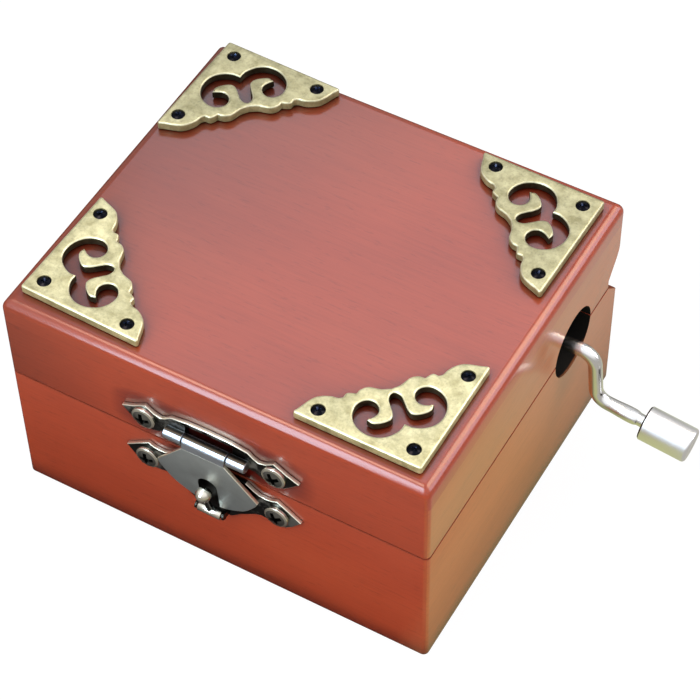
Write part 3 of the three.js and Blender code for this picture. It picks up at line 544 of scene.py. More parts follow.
# Copies of the brass for the bracket's zones: the rim's lighter tone is a painted highlight, the sides' and
# the piercing's darker tones are painted shade.
BRASS_OLD = antique_brass("antique_brass", (0.66, 0.62, 0.365), (0.52, 0.485, 0.275), (0.36, 0.33, 0.17))
BRASS_RIM_HIGHLIGHT = antique_brass("antique_brass_rim_painted_highlight", (0.86, 0.82, 0.56), (0.78, 0.74, 0.48), (0.66, 0.62, 0.38),
                          metallic=0.6)
BRASS_SIDE_SHADE = antique_brass("antique_brass_side_painted_shade", (0.60, 0.55, 0.28), (0.44, 0.40, 0.19), (0.28, 0.25, 0.11),
                           roughness=0.5, metallic=0.35)
BRASS_PIERCING_SHADE = antique_brass("antique_brass_piercing_painted_shade", (0.12, 0.10, 0.05), (0.07, 0.058, 0.028),
                           (0.035, 0.028, 0.013), roughness=0.5)
BLACK = metal("blackened_steel", (0.006, 0.006, 0.008), (0.012, 0.013, 0.018), 0.13, grain=0.2)
# Painted glint: a bluish tone on the cross slot's sides.
SLOT_GLINT = metal("screw_slot_painted_glint", (0.30, 0.34, 0.44), (0.10, 0.12, 0.17), 0.2, spot=0.5)

GUN_TONES = (0.33, 0.33, 0.31), (0.015, 0.015, 0.013)
# High-contrast mottling whose black patches are painted reflections of dark surroundings on the polished
# plates.
GUN_REFLECTION_PATCHES = dict(spot=1.0, cloud_scale=230.0, patches=(0.42, 0.53))
GUN = metal("gunmetal", *GUN_TONES, 0.32, **GUN_REFLECTION_PATCHES)
GUN_CATCH = metal("gunmetal_catch_painted_shade", *GUN_TONES, 0.32, **GUN_REFLECTION_PATCHES, middle=True)
GUN_RIM = metal("gunmetal_rim", (0.92, 0.86, 0.70), (0.72, 0.66, 0.50), 0.38, spot=0.5)
# A lighter, bluer copy of the gunmetal for the knuckles and roll: painted highlight.
GUN_BARREL_LIT = metal("gunmetal_barrel_painted_highlight", (0.46, 0.48, 0.53), (0.28, 0.28, 0.27), 0.34, spot=0.6)
GUN_FLAP = metal("gunmetal_satin", (0.60, 0.62, 0.60), (0.48, 0.50, 0.48), 0.4, spot=0.6)
GUN_SCREW = metal("gunmetal_screw", (0.22, 0.215, 0.195), (0.12, 0.115, 0.10), 0.24, spot=0.5)
# Near-black gunmetal laid where shade falls: painted shade in the window, slots, curls, cross slots, the stem
# behind the flap and the knob's inner end.
GUN_SHADE = metal("gunmetal_painted_shade", (0.04, 0.037, 0.031), (0.02, 0.018, 0.015), 0.3, spot=0.5)
GUN_BRIGHT = metal("gunmetal_worn_bright", (0.74, 0.69, 0.58), (0.50, 0.46, 0.38), 0.24, spot=0.5)

NICKEL = metal("nickel_plate", (0.74, 0.73, 0.70), (0.62, 0.61, 0.58), 0.2, spot=0.3, grain=0.006)
KNOB = metal("turned_nickel", (0.80, 0.795, 0.78), (0.70, 0.69, 0.67), 0.3, spot=0.3, grain=0.012)
BRASS = metal("yellow_brass", (0.62, 0.44, 0.16), (0.45, 0.31, 0.10), 0.25)
STEEL = metal("bright_steel", (0.45, 0.46, 0.48), (0.33, 0.34, 0.36), 0.22, grain=0.1, brushed=True)
ZINC = metal("cast_zinc", (0.33, 0.33, 0.32), (0.25, 0.25, 0.245), 0.45, grain=0.3)


# Case boards
SIDES = ("front", "right", "back", "left")
# Back bevel of the lid from its upper end down to the hinge lip, as (y, z)
LID_BEVEL = [(37.3, 43.6), (37.1, 41.6), (36.8, 40.0), (36.4, 38.6), (35.8, 37.2), (35.0, 36.0), (33.9, 34.5)]
# How far beyond its radius a face still counts as the seam's rounding or the hole, and how it must be turned
SEAM_SLACK, SEAM_TURN = 0.02, 0.05
HOLE_SLACK, HOLE_TURN = 0.05, 0.5
# Where the cut of the crank hole starts, inside the case
HOLE_FROM = 20
# The least corner radius of a board, and how much the lid's corners tighten over its top edge
LEAST_R, TIGHTEN_SHARE = 0.02, 0.9


def wall_ring(half_length, half_reach, inset, z, steps=8):
    """Outline of a mitred board at the front, with half of the case's rounded corner at each end."""
    reach, length = half_reach - inset, half_length - inset
    r = max(EDGE_R - inset, LEAST_R)
    ring = [(half_length - WALL, WALL - half_reach, z), (WALL - half_length, WALL - half_reach, z)]
    eighth = turns(math.pi / 4, steps)
    for side, angles in ((-1, eighth[::-1]), (1, eighth)):
        ring += [(side * (length - r + r * math.sin(t)), r - reach - r * math.cos(t), z) for t in angles]
    return ring


def wall_zone(centre, normal):
    """1 on the roundings along the seam."""
    from_seam = min(abs(centre.z - SEAM), abs(centre.z - LID_Z))
    return 1 if from_seam < SEAM_R + SEAM_SLACK and abs(normal.z) > SEAM_TURN else 0


def bored_zone(centre, normal):
    """2 inside the crank hole, and otherwise as on the other walls."""
    radial = math.hypot(centre.y - HOLE_Y, centre.z - SEAM)
    return 2 if radial < HOLE_R + HOLE_SLACK and abs(normal.x) < HOLE_TURN else wall_zone(centre, normal)


def wall(body, index, levels, cutters, material):
    """One board; levels are its bottom, its top and the radii of their edges."""
    name = f"{body}_{SIDES[index]}_wall"
    bottom, top, bottom_r, top_r = levels
    half_length, half_reach = (HALF_D, HALF_W) if index % 2 else (HALF_W, HALF_D)
    rows = rounded(bottom_r, bottom, -1)[::-1] + (rounded(top_r, top, 1) if top_r else [(0, top)])
    rings = [wall_ring(half_length, half_reach, inset, z) for inset, z in rows]
    thing = loft(name + "_board", rings, SHARP_WOOD)
    place(thing, Matrix.Rotation(index * math.pi / 2, 4, "Z"))
    combine(thing, cutters, sharp=SHARP_WOOD)
    if SIDES[index] == "right":
        paint(thing, (material, SEAM_WOOD, BORE_PAINTED_SHADE), bored_zone)
    else:
        paint(thing, (material, SEAM_WOOD), wall_zone)
    finish_piece(thing, body, name)


def panel_ring(inset, z, steps=8):
    """Outline of the lid's panel, whose corners tighten as it draws in over the rounded top edge."""
    r = EDGE_R * (1 - TIGHTEN_SHARE * inset / TOP_R)
    ring = []
    for corner, (sx, sy) in enumerate(((1, 1), (-1, 1), (-1, -1), (1, -1))):
        for t in turns(math.pi / 2, steps):
            t += corner * math.pi / 2
            x, y = sx * (HALF_W - inset - r), sy * (HALF_D - inset - r)
            ring.append((x + r * math.cos(t), y + r * math.sin(t), z))
    return ring


base_bevel = [(GROOVE_Y, SEAM), (BEHIND, SEAM - (BEHIND - GROOVE_Y)), (BEHIND, FAR), (GROOVE_Y, FAR)]
base_groove = along_x("cut_base", base_bevel, -FAR, FAR)
lid_bevel = [(LIP_Y, LIP_Z), (LIP_Y, BELOW), (BEHIND, BELOW), (BEHIND, LID_BEVEL[0][1]), *LID_BEVEL]
lid_groove = along_x("cut_lid", lid_bevel, -FAR, FAR)
hole_cut = lathe("cut_hole", [(0, HOLE_FROM), (HOLE_R, HOLE_FROM), (HOLE_R, FAR), (0, FAR)], 96)
place(hole_cut, mm_matrix(0, HOLE_Y, SEAM) @ Matrix.Rotation(math.pi / 2, 4, "Y"))

# Body, levels of its walls, wood of its front, groove, and depth and heights of the hinge leaves' cuts
HALVES = [
    ("base", (0, SEAM, FOOT_R, SEAM_R), WOOD_X, base_groove, HALF_D, SEAM - LEAF_SINK, FAR),
    ("lid", (LID_Z, PANEL_Z, SEAM_R, 0), WOOD_HASP_SHADOWED, lid_groove, LIP_Y + LEAF_SINK, 0, LID_Z + LEAF_SINK),
]
for body, levels, front, groove, depth, low, high in HALVES:
    spans = [(x - LEAF_HALF, x + LEAF_HALF) for x in (-LEAF_X, LEAF_X)]
    leaves = [box("cut_leaf", (x0, 0, low), (x1, depth, high)) for x0, x1 in spans]
    cutters = ([], [groove, hole_cut], [groove, *leaves], [groove])
    for index, material in enumerate((front, WOOD_RIGHT_LIT, WOOD_X, WOOD_Y)):
        wall(body, index, levels, cutters[index], material)
    drop(groove, *leaves)
drop(hole_cut)

panel_rows = [(0, PANEL_Z), *rounded(TOP_R, HEIGHT, 1, 8)]
panel = loft("lid_panel_board", [panel_ring(inset, z) for inset, z in panel_rows], SHARP_WOOD)
paint(panel, [WOOD_TOP_SHADED])
finish_piece(panel, "lid", "lid_panel")


# Screws
def screw_mesh(name, radius, rim, dome, depth, shank, length, slot_width, slot_reach):
    """Cross-head screw: shank below Z = 0, head above with a rounded rim and a shallow dome."""
    under, edge, over, point_share, taper_share = 0.12, 0.2, 0.5, 0.9, 1.4
    inner, top = radius - edge, rim + dome + over
    profile = [(0, -length), (shank * point_share, shank - length), (shank, taper_share * shank - length)]
    profile += [(shank, 0), (radius - under, 0), (radius, under)]
    profile += [(radius - inset, z) for inset, z in rounded(edge, rim, 1)]
    for share in turns(1, 8)[1:]:
        profile.append((inner * (1 - share), rim + dome * math.sin(share * math.pi / 2)))
    head = lathe(name, profile, 40, SHARP_WOOD)
    bottom_shares, top_shares = (0.45, 0.3), (1.1, 0.62)
    rings = []
    for (reach_share, width_share), z in ((bottom_shares, rim - depth), (top_shares, top)):
        x, y = slot_reach * reach_share, slot_width * width_share
        rings.append([(-x, -y, z), (x, -y, z), (x, y, z), (-x, y, z)])
    arms = [place(loft("cut_cross", rings), Matrix.Rotation(turn, 4, "Z")) for turn in (0, math.pi / 2)]
    combine(head, arms, sharp=SHARP_WOOD)
    drop(*arms)
    return head


# Corner brackets: the scalloped edge and the piercing of one leg, mirrored for the other
EDGE = [(12.55, 12.55), (13.9, 11.65), (14.85, 11.35), (16.2, 10.9), (17.1, 9.85), (17.3, 8.7), (18.1, 8.4),
        (18.8, 7.9), (18.85, 6.9), (19.5, 6.4), (20.7, 6.15), (22.0, 5.5), (23.1, 4.5), (23.75, 3.1),
        (24.2, 1.7), (24.7, 0.45)]
EDGE_CORNERS = (0, 5, 8)
LEG = [(24.6, 0.12), (24.35, 0.0), (0.45, 0.0), (0.13, 0.13)]
PIERCE = [(7, 7), (7.1, 5.3), (8.1, 3.45), (9.6, 2.3), (11.4, 1.95), (13.2, 2.3), (14.8, 3.3), (15.8, 4.9),
          (16, 6.7), (15.2, 8.1), (13.9, 8.55), (12.7, 8.1), (12.05, 7.1), (12.15, 6.0), (12.95, 4.6),
          (11.7, 4.4), (10.5, 5.15), (9.6, 6.2), (9.4, 7.1), (9.9, 8.1), (10.9, 9.2), (11.75, 10.15),
          (12.05, 11.15), (11.85, 11.85)]
PIERCE_CORNERS = (0, 14)
CURVE_STEPS = 5
BRACKET_T, BRACKET_R = 1.9, 0.42
# Corner point on the lid and skew in degrees, as the photograph shows each
PLACES = {"front_left": (-40.7, -33.65, -1.7), "front_right": (39.9, -34.35, 0.0),
          "back_right": (40.2, 34.05, -1.0), "back_left": (-40.4, 36.35, -1.7)}
SCREWS = [(3.0, 3.0), (21.1, 2.4), (2.4, 21.1)]
# Countersunk hole as (radius, height), how deep the screw's head sits, and where its cross slot ends
SINK = [(0, -3), (0.7, -3), (0.7, 0.9), (1.32, 1.4), (1.39, 4), (0, 4)]
HEAD_SINK, CROSS_REACH, CROSS_TURN = 0.5, 0.9, 0.85
# A bracket's face is a side when it looks up less than SIDE_TURN. It is a rim when it looks up less than
# RIM_TURN and lies within RIM_REACH of an edge.
SIDE_TURN, RIM_TURN, RIM_REACH = 0.3, 0.97, BRACKET_R * 1.5
# Turn of the first cross slot in radians, and what each further screw and bracket adds
FIRST_TURN, SCREW_TURN, BRACKET_TURN = 0.5, 1.3, 0.9


def both_legs(half):
    return half + [(v, u) for u, v in reversed(half) if abs(u - v) > TINY]


bracket_outline = both_legs(catmull(EDGE, CURVE_STEPS, EDGE_CORNERS) + LEG)
bracket_hole = both_legs(catmull(PIERCE, CURVE_STEPS, PIERCE_CORNERS))
edge_points = [Vector(p) for p in bracket_outline]
hole_points = [Vector(p) for p in bracket_hole]


def bracket_zone(centre, normal):
    """0 on the face, 1 on its rims with a painted highlight, 2 on the outer sides and 3 on the sides of the
    piercing, both with painted shade.
    """
    spot = centre.xy
    to_edge = min([(spot - p).length for p in edge_points] + [abs(spot.x), abs(spot.y)])
    to_hole = min((spot - p).length for p in hole_points)
    if normal.z < SIDE_TURN:
        return 3 if to_hole < to_edge else 2
    return 1 if normal.z < RIM_TURN and min(to_edge, to_hole) < RIM_REACH else 0


def bracket_screw_zone(centre, normal):
    """1 on the sides of the cross slot, with a painted bluish glint."""
    return 1 if centre.xy.length < CROSS_REACH and centre.z > 0 and normal.z < CROSS_TURN else 0


bracket_screw = screw_mesh("bracket_screw_master", radius=1.28, rim=0.42, dome=0.24, depth=0.35, shank=0.6,
                           length=5.0, slot_width=0.36, slot_reach=0.85)
paint(bracket_screw, (BLACK, SLOT_GLINT), bracket_screw_zone)
bracket_master = plate("bracket_master", bracket_outline, [bracket_hole], BRACKET_T, BRACKET_R)
sinks = [place(lathe("cut_sink", SINK, 40), mm_matrix(u, v, 0)) for u, v in SCREWS]
combine(bracket_master, sinks, sharp=SHARP_PLATE)
drop(*sinks)
paint(bracket_master, (BRASS_OLD, BRASS_RIM_HIGHLIGHT, BRASS_SIDE_SHADE, BRASS_PIERCING_SHADE), bracket_zone)

for index, (corner, (x, y, skew)) in enumerate(PLACES.items()):
    stand = mm_matrix(x, y, HEIGHT) @ Matrix.Rotation(index * math.pi / 2 + math.radians(skew), 4, "Z")
    bracket = copy_piece(bracket_master, f"bracket_{corner}_cast", stand)
    finish_piece(bracket, "lid", f"bracket_{corner}")
    for number, (u, v) in enumerate(SCREWS):
        name = f"bracket_screw_{corner}_{number + 1}"
        turn = Matrix.Rotation(FIRST_TURN + SCREW_TURN * number + BRACKET_TURN * index, 4, "Z")
        seat = stand @ mm_matrix(u, v, BRACKET_T - HEAD_SINK)
        finish_piece(copy_piece(bracket_screw, name + "_head", seat @ turn), "lid", name)
drop(bracket_master, bracket_screw)

# Hasp and catch: plates are drawn in X and Z and stood up against the front by FRONT
FRONT = Matrix(((1, 0, 0, 0), (0, 0, -1, -HALF_D * MM), (0, 1, 0, 0), (0, 0, 0, 1)))
HASP_T, HASP_R = 0.8, 0.16
HASP_EDGE = [(0, 34.9), (9.2, 34.9), (10.4, 34.0), (11.8, 33.5), (13.4, 33.4), (15, 33.8), (16.3, 35),
             (18.1, 36.9), (15.6, 38.1), (13.1, 39.7), (11.4, 38.4), (10, 38), (9, 38.5), (7.9, 39.5),
             (4.5, 40.05), (0, 40.2)]
WINDOW = [(-4.75, 35.5), (4.75, 35.5), (4.75, 39.1), (-4.75, 39.1)]
PIN_Z, PIN_PROUD, ROLL_R = 36.9, 1.9, 1.2
KNUCKLE_IN, KNUCKLE_OUT, ROLL_HALF = 4.6, 8.3, 4.4
CATCH_EDGE = [(0, 30.2), (4.5, 30.15), (7, 29.9), (8.6, 28.7), (9.8, 28.1), (11, 28), (12.2, 28.2),
              (13.3, 28.8), (15.6, 27.2), (18.1, 25.4), (16.3, 23.2), (15, 22.1), (13.4, 21.8), (11.6, 22.1),
              (9.9, 22.4), (8.7, 21.9), (7.4, 21), (5.4, 19.6), (3.6, 17.9), (1.9, 17.55), (0, 17.5)]
BAR_Z, BAR_PROUD, BAR_R, BAR_HALF = 18.95, 2.2, 0.95, 2.4
CURL_R, CURL_IN, CURL_OUT, CURL_EDGE, WEB_IN = 0.75, 2.6, 3.05, 0.08, 0.4
# The flap's slope is its run in Y for each millimetre down
FLAP_T, FLAP_R, FOLD_Z, FOLD_PROUD, SLOPE = 0.7, 0.14, 35.8, 3.2, 0.081
FLAP_EDGE = [(4.3, 35.8), (10.4, 28), (9.9, 26.9), (8.9, 25.4), (8.0, 24.2), (7.0, 23.2), (6.2, 22.7),
             (5.4, 22.2), (4.6, 21.8), (3.8, 21.4), (2.9, 21.1), (1.9, 20.9)]
SLOT_Z, SLOT_R = 26.65, 1.9
NECK_HALF, NECK_DROP, NECK_BACK, NECK_TOP = 4.3, 0.35, 0.1, (3.16, 36.3)
BALL_PROUD, BALL_Z, BALL_R = 3.9, 25.75, 1.5
STEM_R, COLLAR_R, STEM_END, COLLAR_END = 0.6, 0.75, 1.9, 1.3
# Name, X, Z and body of the screws; their cross slots turn by a little for each millimetre of X
FITTING_SCREWS = [("hasp_screw_left", -13.3, 36.6, "lid"), ("hasp_screw_right", 13.3, 36.6, "lid"),
                  ("catch_screw_left", -13.4, 25.0, "base"), ("catch_screw_right", 13.4, 25.0, "base")]
MIDDLE_TURN, TURN_PER_MM = 0.35, 0.01
# Bounds of the zones of tone: how faces are turned, and places and radii on the pieces
PLATE_TURN, FLAP_TURN, OVER_TURN, SLOT_TURN, SLACK = 0.97, 0.9, 0.88, 0.8, 0.05
WINDOW_X, WINDOW_LOW, WINDOW_HIGH, CATCH_MIDDLE = 5.0, 35.3, 39.3, 7.5
FLAP_SLOT_X, FLAP_SLOT_HIGH, STEM_LOW, STEM_HIGH = 2.2, 28.8, BAR_Z + 1, BALL_Z - 1.4
RIM_FROM, RIM_LOW, CROSS_TO = 1.98, 0.3, 1.9


def mirror_x(half):
    return half + [(-x, z) for x, z in reversed(half) if x > TINY]


def tube_x(name, radius, x0, x1, proud, z, edge=0.12):
    """A bar along X, so far proud of the case's front."""
    inner = radius - edge
    profile = [(0, x0), (inner, x0), (radius, x0 + edge), (radius, x1 - edge), (inner, x1), (0, x1)]
    thing = place(lathe(name, profile, 40), Matrix.Rotation(math.pi / 2, 4, "Y"))
    return place(thing, mm_matrix(0, -HALF_D - proud, z))


def proud_of_plate(centre):
    return centre.y < -HALF_D - HASP_T - SLACK


def hasp_zone(centre, normal):
    """0 on the plate, 1 on its edge, 2 with painted shade in the window and over the knuckles, 3 with a
    painted highlight on the knuckles.
    """
    if proud_of_plate(centre):
        return 2 if normal.z > OVER_TURN else 3
    if abs(centre.x) < WINDOW_X and WINDOW_LOW < centre.z < WINDOW_HIGH:
        return 2
    return 1 if abs(normal.y) < PLATE_TURN else 0


def catch_zone(centre, normal):
    """0 on the plate, 1 on the edge of its ends, 2 on the curls with painted shade."""
    if proud_of_plate(centre):
        return 2
    return 1 if abs(normal.y) < PLATE_TURN and abs(centre.x) > CATCH_MIDDLE else 0


def flap_zone(centre, normal):
    """0 on the leaf, 1 on its edge, 2 with painted shade in its slot and over the roll, 3 with a painted
    highlight on the roll.
    """
    if centre.z > FOLD_Z + SLACK:
        return 2 if normal.z > OVER_TURN else 3
    if abs(normal.y) < FLAP_TURN:
        return 2 if abs(centre.x) < FLAP_SLOT_X and centre.z < FLAP_SLOT_HIGH else 1
    return 0


def lever_zone(centre, normal):
    """1 with painted shade on the stem between the bar and the ball."""
    return 1 if STEM_LOW < centre.z < STEM_HIGH else 0


def fitting_screw_zone(centre, normal):
    """0 on the head, 1 on its rim, 2 with painted shade in the cross slot."""
    reach = centre.xy.length
    if reach > RIM_FROM and centre.z > RIM_LOW:
        return 1
    return 2 if reach < CROSS_TO and normal.z < SLOT_TURN and centre.z > 0 else 0


hasp = plate("hasp_plate_pressed", mirror_x(HASP_EDGE), [WINDOW], HASP_T, HASP_R)
place(hasp, FRONT)
join_into(hasp, [tube_x("k1", ROLL_R, -KNUCKLE_OUT, -KNUCKLE_IN, PIN_PROUD, PIN_Z),
                 tube_x("k2", ROLL_R, KNUCKLE_IN, KNUCKLE_OUT, PIN_PROUD, PIN_Z)])
paint(hasp, (GUN, GUN_RIM, GUN_SHADE, GUN_BARREL_LIT), hasp_zone)
finish_piece(hasp, "lid", "hasp_plate")

catch = plate("catch_plate_pressed", mirror_x(CATCH_EDGE), [], HASP_T, HASP_R)
place(catch, FRONT)
curls = []
for x0, x1 in ((-CURL_OUT, -CURL_IN), (CURL_IN, CURL_OUT)):
    curls.append(tube_x("curl", CURL_R, x0, x1, BAR_PROUD, BAR_Z, CURL_EDGE))
    low, high = (x0, -HALF_D - BAR_PROUD, BAR_Z - CURL_R), (x1, -HALF_D - WEB_IN, BAR_Z + CURL_R)
    curls.append(box("web", low, high))
join_into(catch, curls)
paint(catch, (GUN_CATCH, GUN_RIM, GUN_SHADE), catch_zone)
finish_piece(catch, "base", "catch_plate")

slot_top = [(SLOT_R * math.cos(t), SLOT_Z + SLOT_R * math.sin(t)) for t in turns(math.pi, 16)]
flap_outline = FLAP_EDGE + slot_top + [(-x, z) for x, z in reversed(FLAP_EDGE)]
flap = plate("hasp_flap_leaf", flap_outline, [], FLAP_T, FLAP_R)
lean = Matrix.Identity(4)
lean[1][2] = -SLOPE
place(flap, mm_matrix(0, 0, FOLD_Z) @ lean @ mm_matrix(0, -FOLD_PROUD + FLAP_T, -FOLD_Z) @ FRONT)
outer = -HALF_D - FOLD_PROUD
neck_profile = [(outer, FOLD_Z), (outer + FLAP_T, FOLD_Z - NECK_DROP), (outer + FLAP_T + NECK_BACK, PIN_Z),
                (-HALF_D - PIN_PROUD - ROLL_R, PIN_Z), (-HALF_D - NECK_TOP[0], NECK_TOP[1])]
neck = along_x("neck", neck_profile, -NECK_HALF, NECK_HALF)
join_into(flap, [neck, tube_x("roll", ROLL_R, -ROLL_HALF, ROLL_HALF, PIN_PROUD, PIN_Z)])
paint(flap, (GUN_FLAP, GUN_RIM, GUN_SHADE, GUN_BARREL_LIT), flap_zone)
finish_piece(flap, "flap", "hasp_flap")

foot, ball = Vector((0, -HALF_D - BAR_PROUD, BAR_Z)), Vector((0, -HALF_D - BALL_PROUD, BALL_Z))
stem_axis = ball - foot
rise = stem_axis.length
stem_profile = [(0, 0), (STEM_R, 0), (STEM_R, rise - STEM_END), (COLLAR_R, rise - COLLAR_END), (0, rise)]
stem = lathe("stem", stem_profile, 24)
place(stem, Matrix.Translation(foot * MM) @ stem_axis.to_track_quat("Z", "Y").to_matrix().to_4x4())
ball_profile = [(BALL_R * math.sin(t), -BALL_R * math.cos(t)) for t in turns(math.pi, 20)]
knob_ball = place(lathe("ball", ball_profile, 40, SHARP_BALL), Matrix.Translation(ball * MM))
lever = tube_x("catch_lever_turned", BAR_R, -BAR_HALF, BAR_HALF, BAR_PROUD, BAR_Z)
join_into(lever, [stem, knob_ball], SHARP_LEVER)
paint(lever, (GUN_BRIGHT, GUN_SHADE), lever_zone)
finish_piece(lever, "catch", "catch_lever")

hasp_screw = screw_mesh("hasp_screw_master", radius=2.4, rim=0.75, dome=0.5, depth=0.45, shank=1.0,
                        length=5.5, slot_width=0.85, slot_reach=CROSS_TO)
paint(hasp_screw, (GUN_SCREW, GUN_BRIGHT, GUN_SHADE), fitting_screw_zone)
for name, x, z, body in FITTING_SCREWS:
    turn = Matrix.Rotation(MIDDLE_TURN + x * TURN_PER_MM, 4, "Z")
    seat = mm_matrix(x, 0, z) @ FRONT @ mm_matrix(0, 0, HASP_T)
    finish_piece(copy_piece(hasp_screw, name + "_head", seat @ turn), body, name)
drop(hasp_screw)

# Crank rod and knob: a straight shaft, a bend down into the arm and a bend out into the handle
SHAFT_Y, SHAFT_Z, SHAFT_X0, ARM_X, ARM_LENGTH = 17.75, 30.0, 24.1, 47.7, 11.85
ROD_R, ROD_SIDES, BEND_R = 1.35, 48, 3.2
LEAN, TILT = math.radians(5.1), math.radians(7.1)
# Along the handle: distance, half width, half thickness and squareness of the section
SWAGE = [(3.2, 1.36, 1.34, 2.0), (4.4, 1.42, 1.28, 2.1), (5.6, 1.5, 1.2, 2.3), (7.0, 1.54, 1.17, 2.5),
         (8.1, 1.5, 1.18, 2.4), (8.6, 1.4, 1.2, 2.1), (8.9, 1.26, 1.22, 2.0), (9.3, 1.24, 1.24, 2.0),
         (18.6, 1.33, 1.33, 2.0)]
KNOB_R, KNOB_0, KNOB_1, KNOB_EDGE, KNOB_ROUND = 3.4, 10.1, 19.9, 0.3, 0.7
# The knob's blind bore from its inner end, and the dimple in its outer end, as (radius, height)
KNOB_BORE = [(0, KNOB_1 - 1), (1.45, KNOB_1 - 1), (1.45, KNOB_0 + 0.25), (1.7, KNOB_0)]
KNOB_END = [(1.5, KNOB_1), (1.35, KNOB_1 - 0.1), (1.2, KNOB_1 - 0.12), (0, KNOB_1 - 0.05)]
KNOB_INNER = KNOB_0 + 0.2

ahead, sideways = Vector((1, 0, 0)), Vector((0, 1, 0))
arm = Vector((math.sin(LEAN), 0, -math.cos(LEAN)))
handle = Vector((math.cos(TILT), 0, -math.sin(TILT)))
first = Vector((ARM_X, SHAFT_Y, SHAFT_Z))
second = first + arm * ARM_LENGTH


def bend(corner, before, after):
    """Points and directions of a round bend between two directions."""
    angle = before.angle(after)
    start = corner - before * BEND_R * math.tan(angle / 2)
    inward = (after - before * after.dot(before)).normalized()
    return [(start + before * BEND_R * math.sin(t) + inward * BEND_R * (1 - math.cos(t)),
             before * math.cos(t) + inward * math.sin(t)) for t in turns(angle, 14)]


def rod_ring(point, direction, wide, thin, square):
    """Section of the rod; square is 2 for an ellipse and more for a squarer form."""
    normal = direction.cross(sideways)
    ring = []
    for k in range(ROD_SIDES):
        c, v = math.cos(k / ROD_SIDES * 2 * math.pi), math.sin(k / ROD_SIDES * 2 * math.pi)
        c, v = (math.copysign(abs(value) ** (2 / square), value) for value in (c, v))
        ring.append(tuple(point + sideways * wide * c + normal * thin * v))
    return ring


shaft_start = Vector((SHAFT_X0, SHAFT_Y, SHAFT_Z))
stations = [(shaft_start, ahead), *bend(first, ahead, arm), *bend(second, arm, handle)]
rings = [rod_ring(point, direction, ROD_R, ROD_R, 2) for point, direction in stations]
rings += [rod_ring(second + handle * distance, handle, wide, thin, square)
          for distance, wide, thin, square in catmull(SWAGE, 8)]
rod = loft("crank_rod_bent", rings, SHARP_ROD)
paint(rod, [NICKEL])
finish_piece(rod, "crank", "crank_rod")

knob_profile = KNOB_BORE + [(KNOB_R - KNOB_EDGE, KNOB_0), (KNOB_R, KNOB_0 + KNOB_EDGE)]
knob_profile += [(KNOB_R - inset, z) for inset, z in rounded(KNOB_ROUND, KNOB_1, 1, 8)] + KNOB_END
knob = lathe("crank_knob_turned", knob_profile, 72, SHARP_WOOD)
# The knob's inner end face gets painted shade.
paint(knob, (KNOB, GUN_SHADE), lambda centre, normal: 1 if centre.z < KNOB_INNER else 0)
place(knob, Matrix.Translation(second * MM) @ handle.to_track_quat("Z", "Y").to_matrix().to_4x4())
finish_piece(knob, "knob", "crank_knob")

# Carried CAD nodes
CARRIED = [
    (PLY, ("base_floor", "cleat_left", "cleat_right", "deck")),
    (ZINC, ("bedplate", "comb_block")),
    (STEEL, ("comb", "comb_screw_1", "comb_screw_2", "bed_screw_1", "bed_screw_2", "cylinder_arbor",
             "worm_shaft")),
    (BRASS, ("pinned_cylinder", "cylinder_wheel", "hinge_base_leaf_left", "hinge_base_leaf_right",
             "hinge_lid_leaf_left", "hinge_lid_leaf_right", "hinge_pin_left", "hinge_pin_right")),
    (GUN, ("hasp_pin", "catch_pin")),
]
for material, names in CARRIED:
    for name in names:
        for material_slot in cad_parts[name].material_slots:
            material_slot.material = material

# Stage
FLOOR_HALF, FLOOR_Z = 1.6, -0.0002
floor_mesh = bmesh.new()
bmesh.ops.create_grid(floor_mesh, x_segments=8, y_segments=8, size=FLOOR_HALF)
floor_data = bpy.data.meshes.new("floor")
floor_mesh.to_mesh(floor_data)
floor_mesh.free()
floor = link(bpy.data.objects.new("floor", floor_data))
floor.location = (0, 0, FLOOR_Z)

# The camera sees white paper with a faint shadow; for mirror rays the paper glows as a warm table top, with
# painted shadow next to the case.
PAPER_BASE, PAPER_GLOW, BOUNCE = grey(0.12), 0.93, (0.74, 0.66, 0.58)
# Tones of the glowing table in front, darkest next to the case as painted shadow.
IN_FRONT_SHADOWED = [(0.05, (0.42, 0.40, 0.37)), (0.12, (0.34, 0.33, 0.31)), (0.24, (0.16, 0.15, 0.14)),
            (0.32, (0.05, 0.04, 0.035))]
AT_SIDE = [(0.3, (0.60, 0.60, 0.30)), (0.55, (0.60, 0.61, 0.32)), (0.72, (0.66, 0.68, 0.50)),
           (0.9, (0.62, 0.66, 0.58))]
FARTHER = (0.55, 0.53, 0.50)
# Where the side of the table begins and where its farther tone does, along X, and their slopes
SIDE_X, SIDE_SLOPE, FARTHER_X, FARTHER_SLOPE = 0.036, 60.0, 0.062, 90.0

n = material_nodes("floor_paper")
path = n.add("ShaderNodeLightPath")
glossy, seen = path.outputs["Is Glossy Ray"], path.outputs["Is Camera Ray"]
spot = n.position()
depth = n.scaled(spot["Y"], 5.0, 0.5)
at_side = n.mix("MIX", n.fade(spot["X"], FARTHER_X, FARTHER_SLOPE), n.ramp(depth, AT_SIDE), FARTHER)
table = n.mix("MIX", n.fade(spot["X"], SIDE_X, SIDE_SLOPE), n.ramp(depth, IN_FRONT_SHADOWED), at_side)
paper = n.mix("MIX", n.math("MAXIMUM", glossy, seen), BOUNCE, PAPER_BASE)
n.surface(Base_Color=n.mix("MIX", glossy, paper, grey(0.0)), Roughness=0.9, Specular_IOR_Level=0.0,
          Emission_Color=n.mix("MIX", glossy, grey(1.0), table),
          Emission_Strength=n.math("ADD", n.math("MULTIPLY", seen, PAPER_GLOW), glossy))
floor_data.materials.append(n.owner)

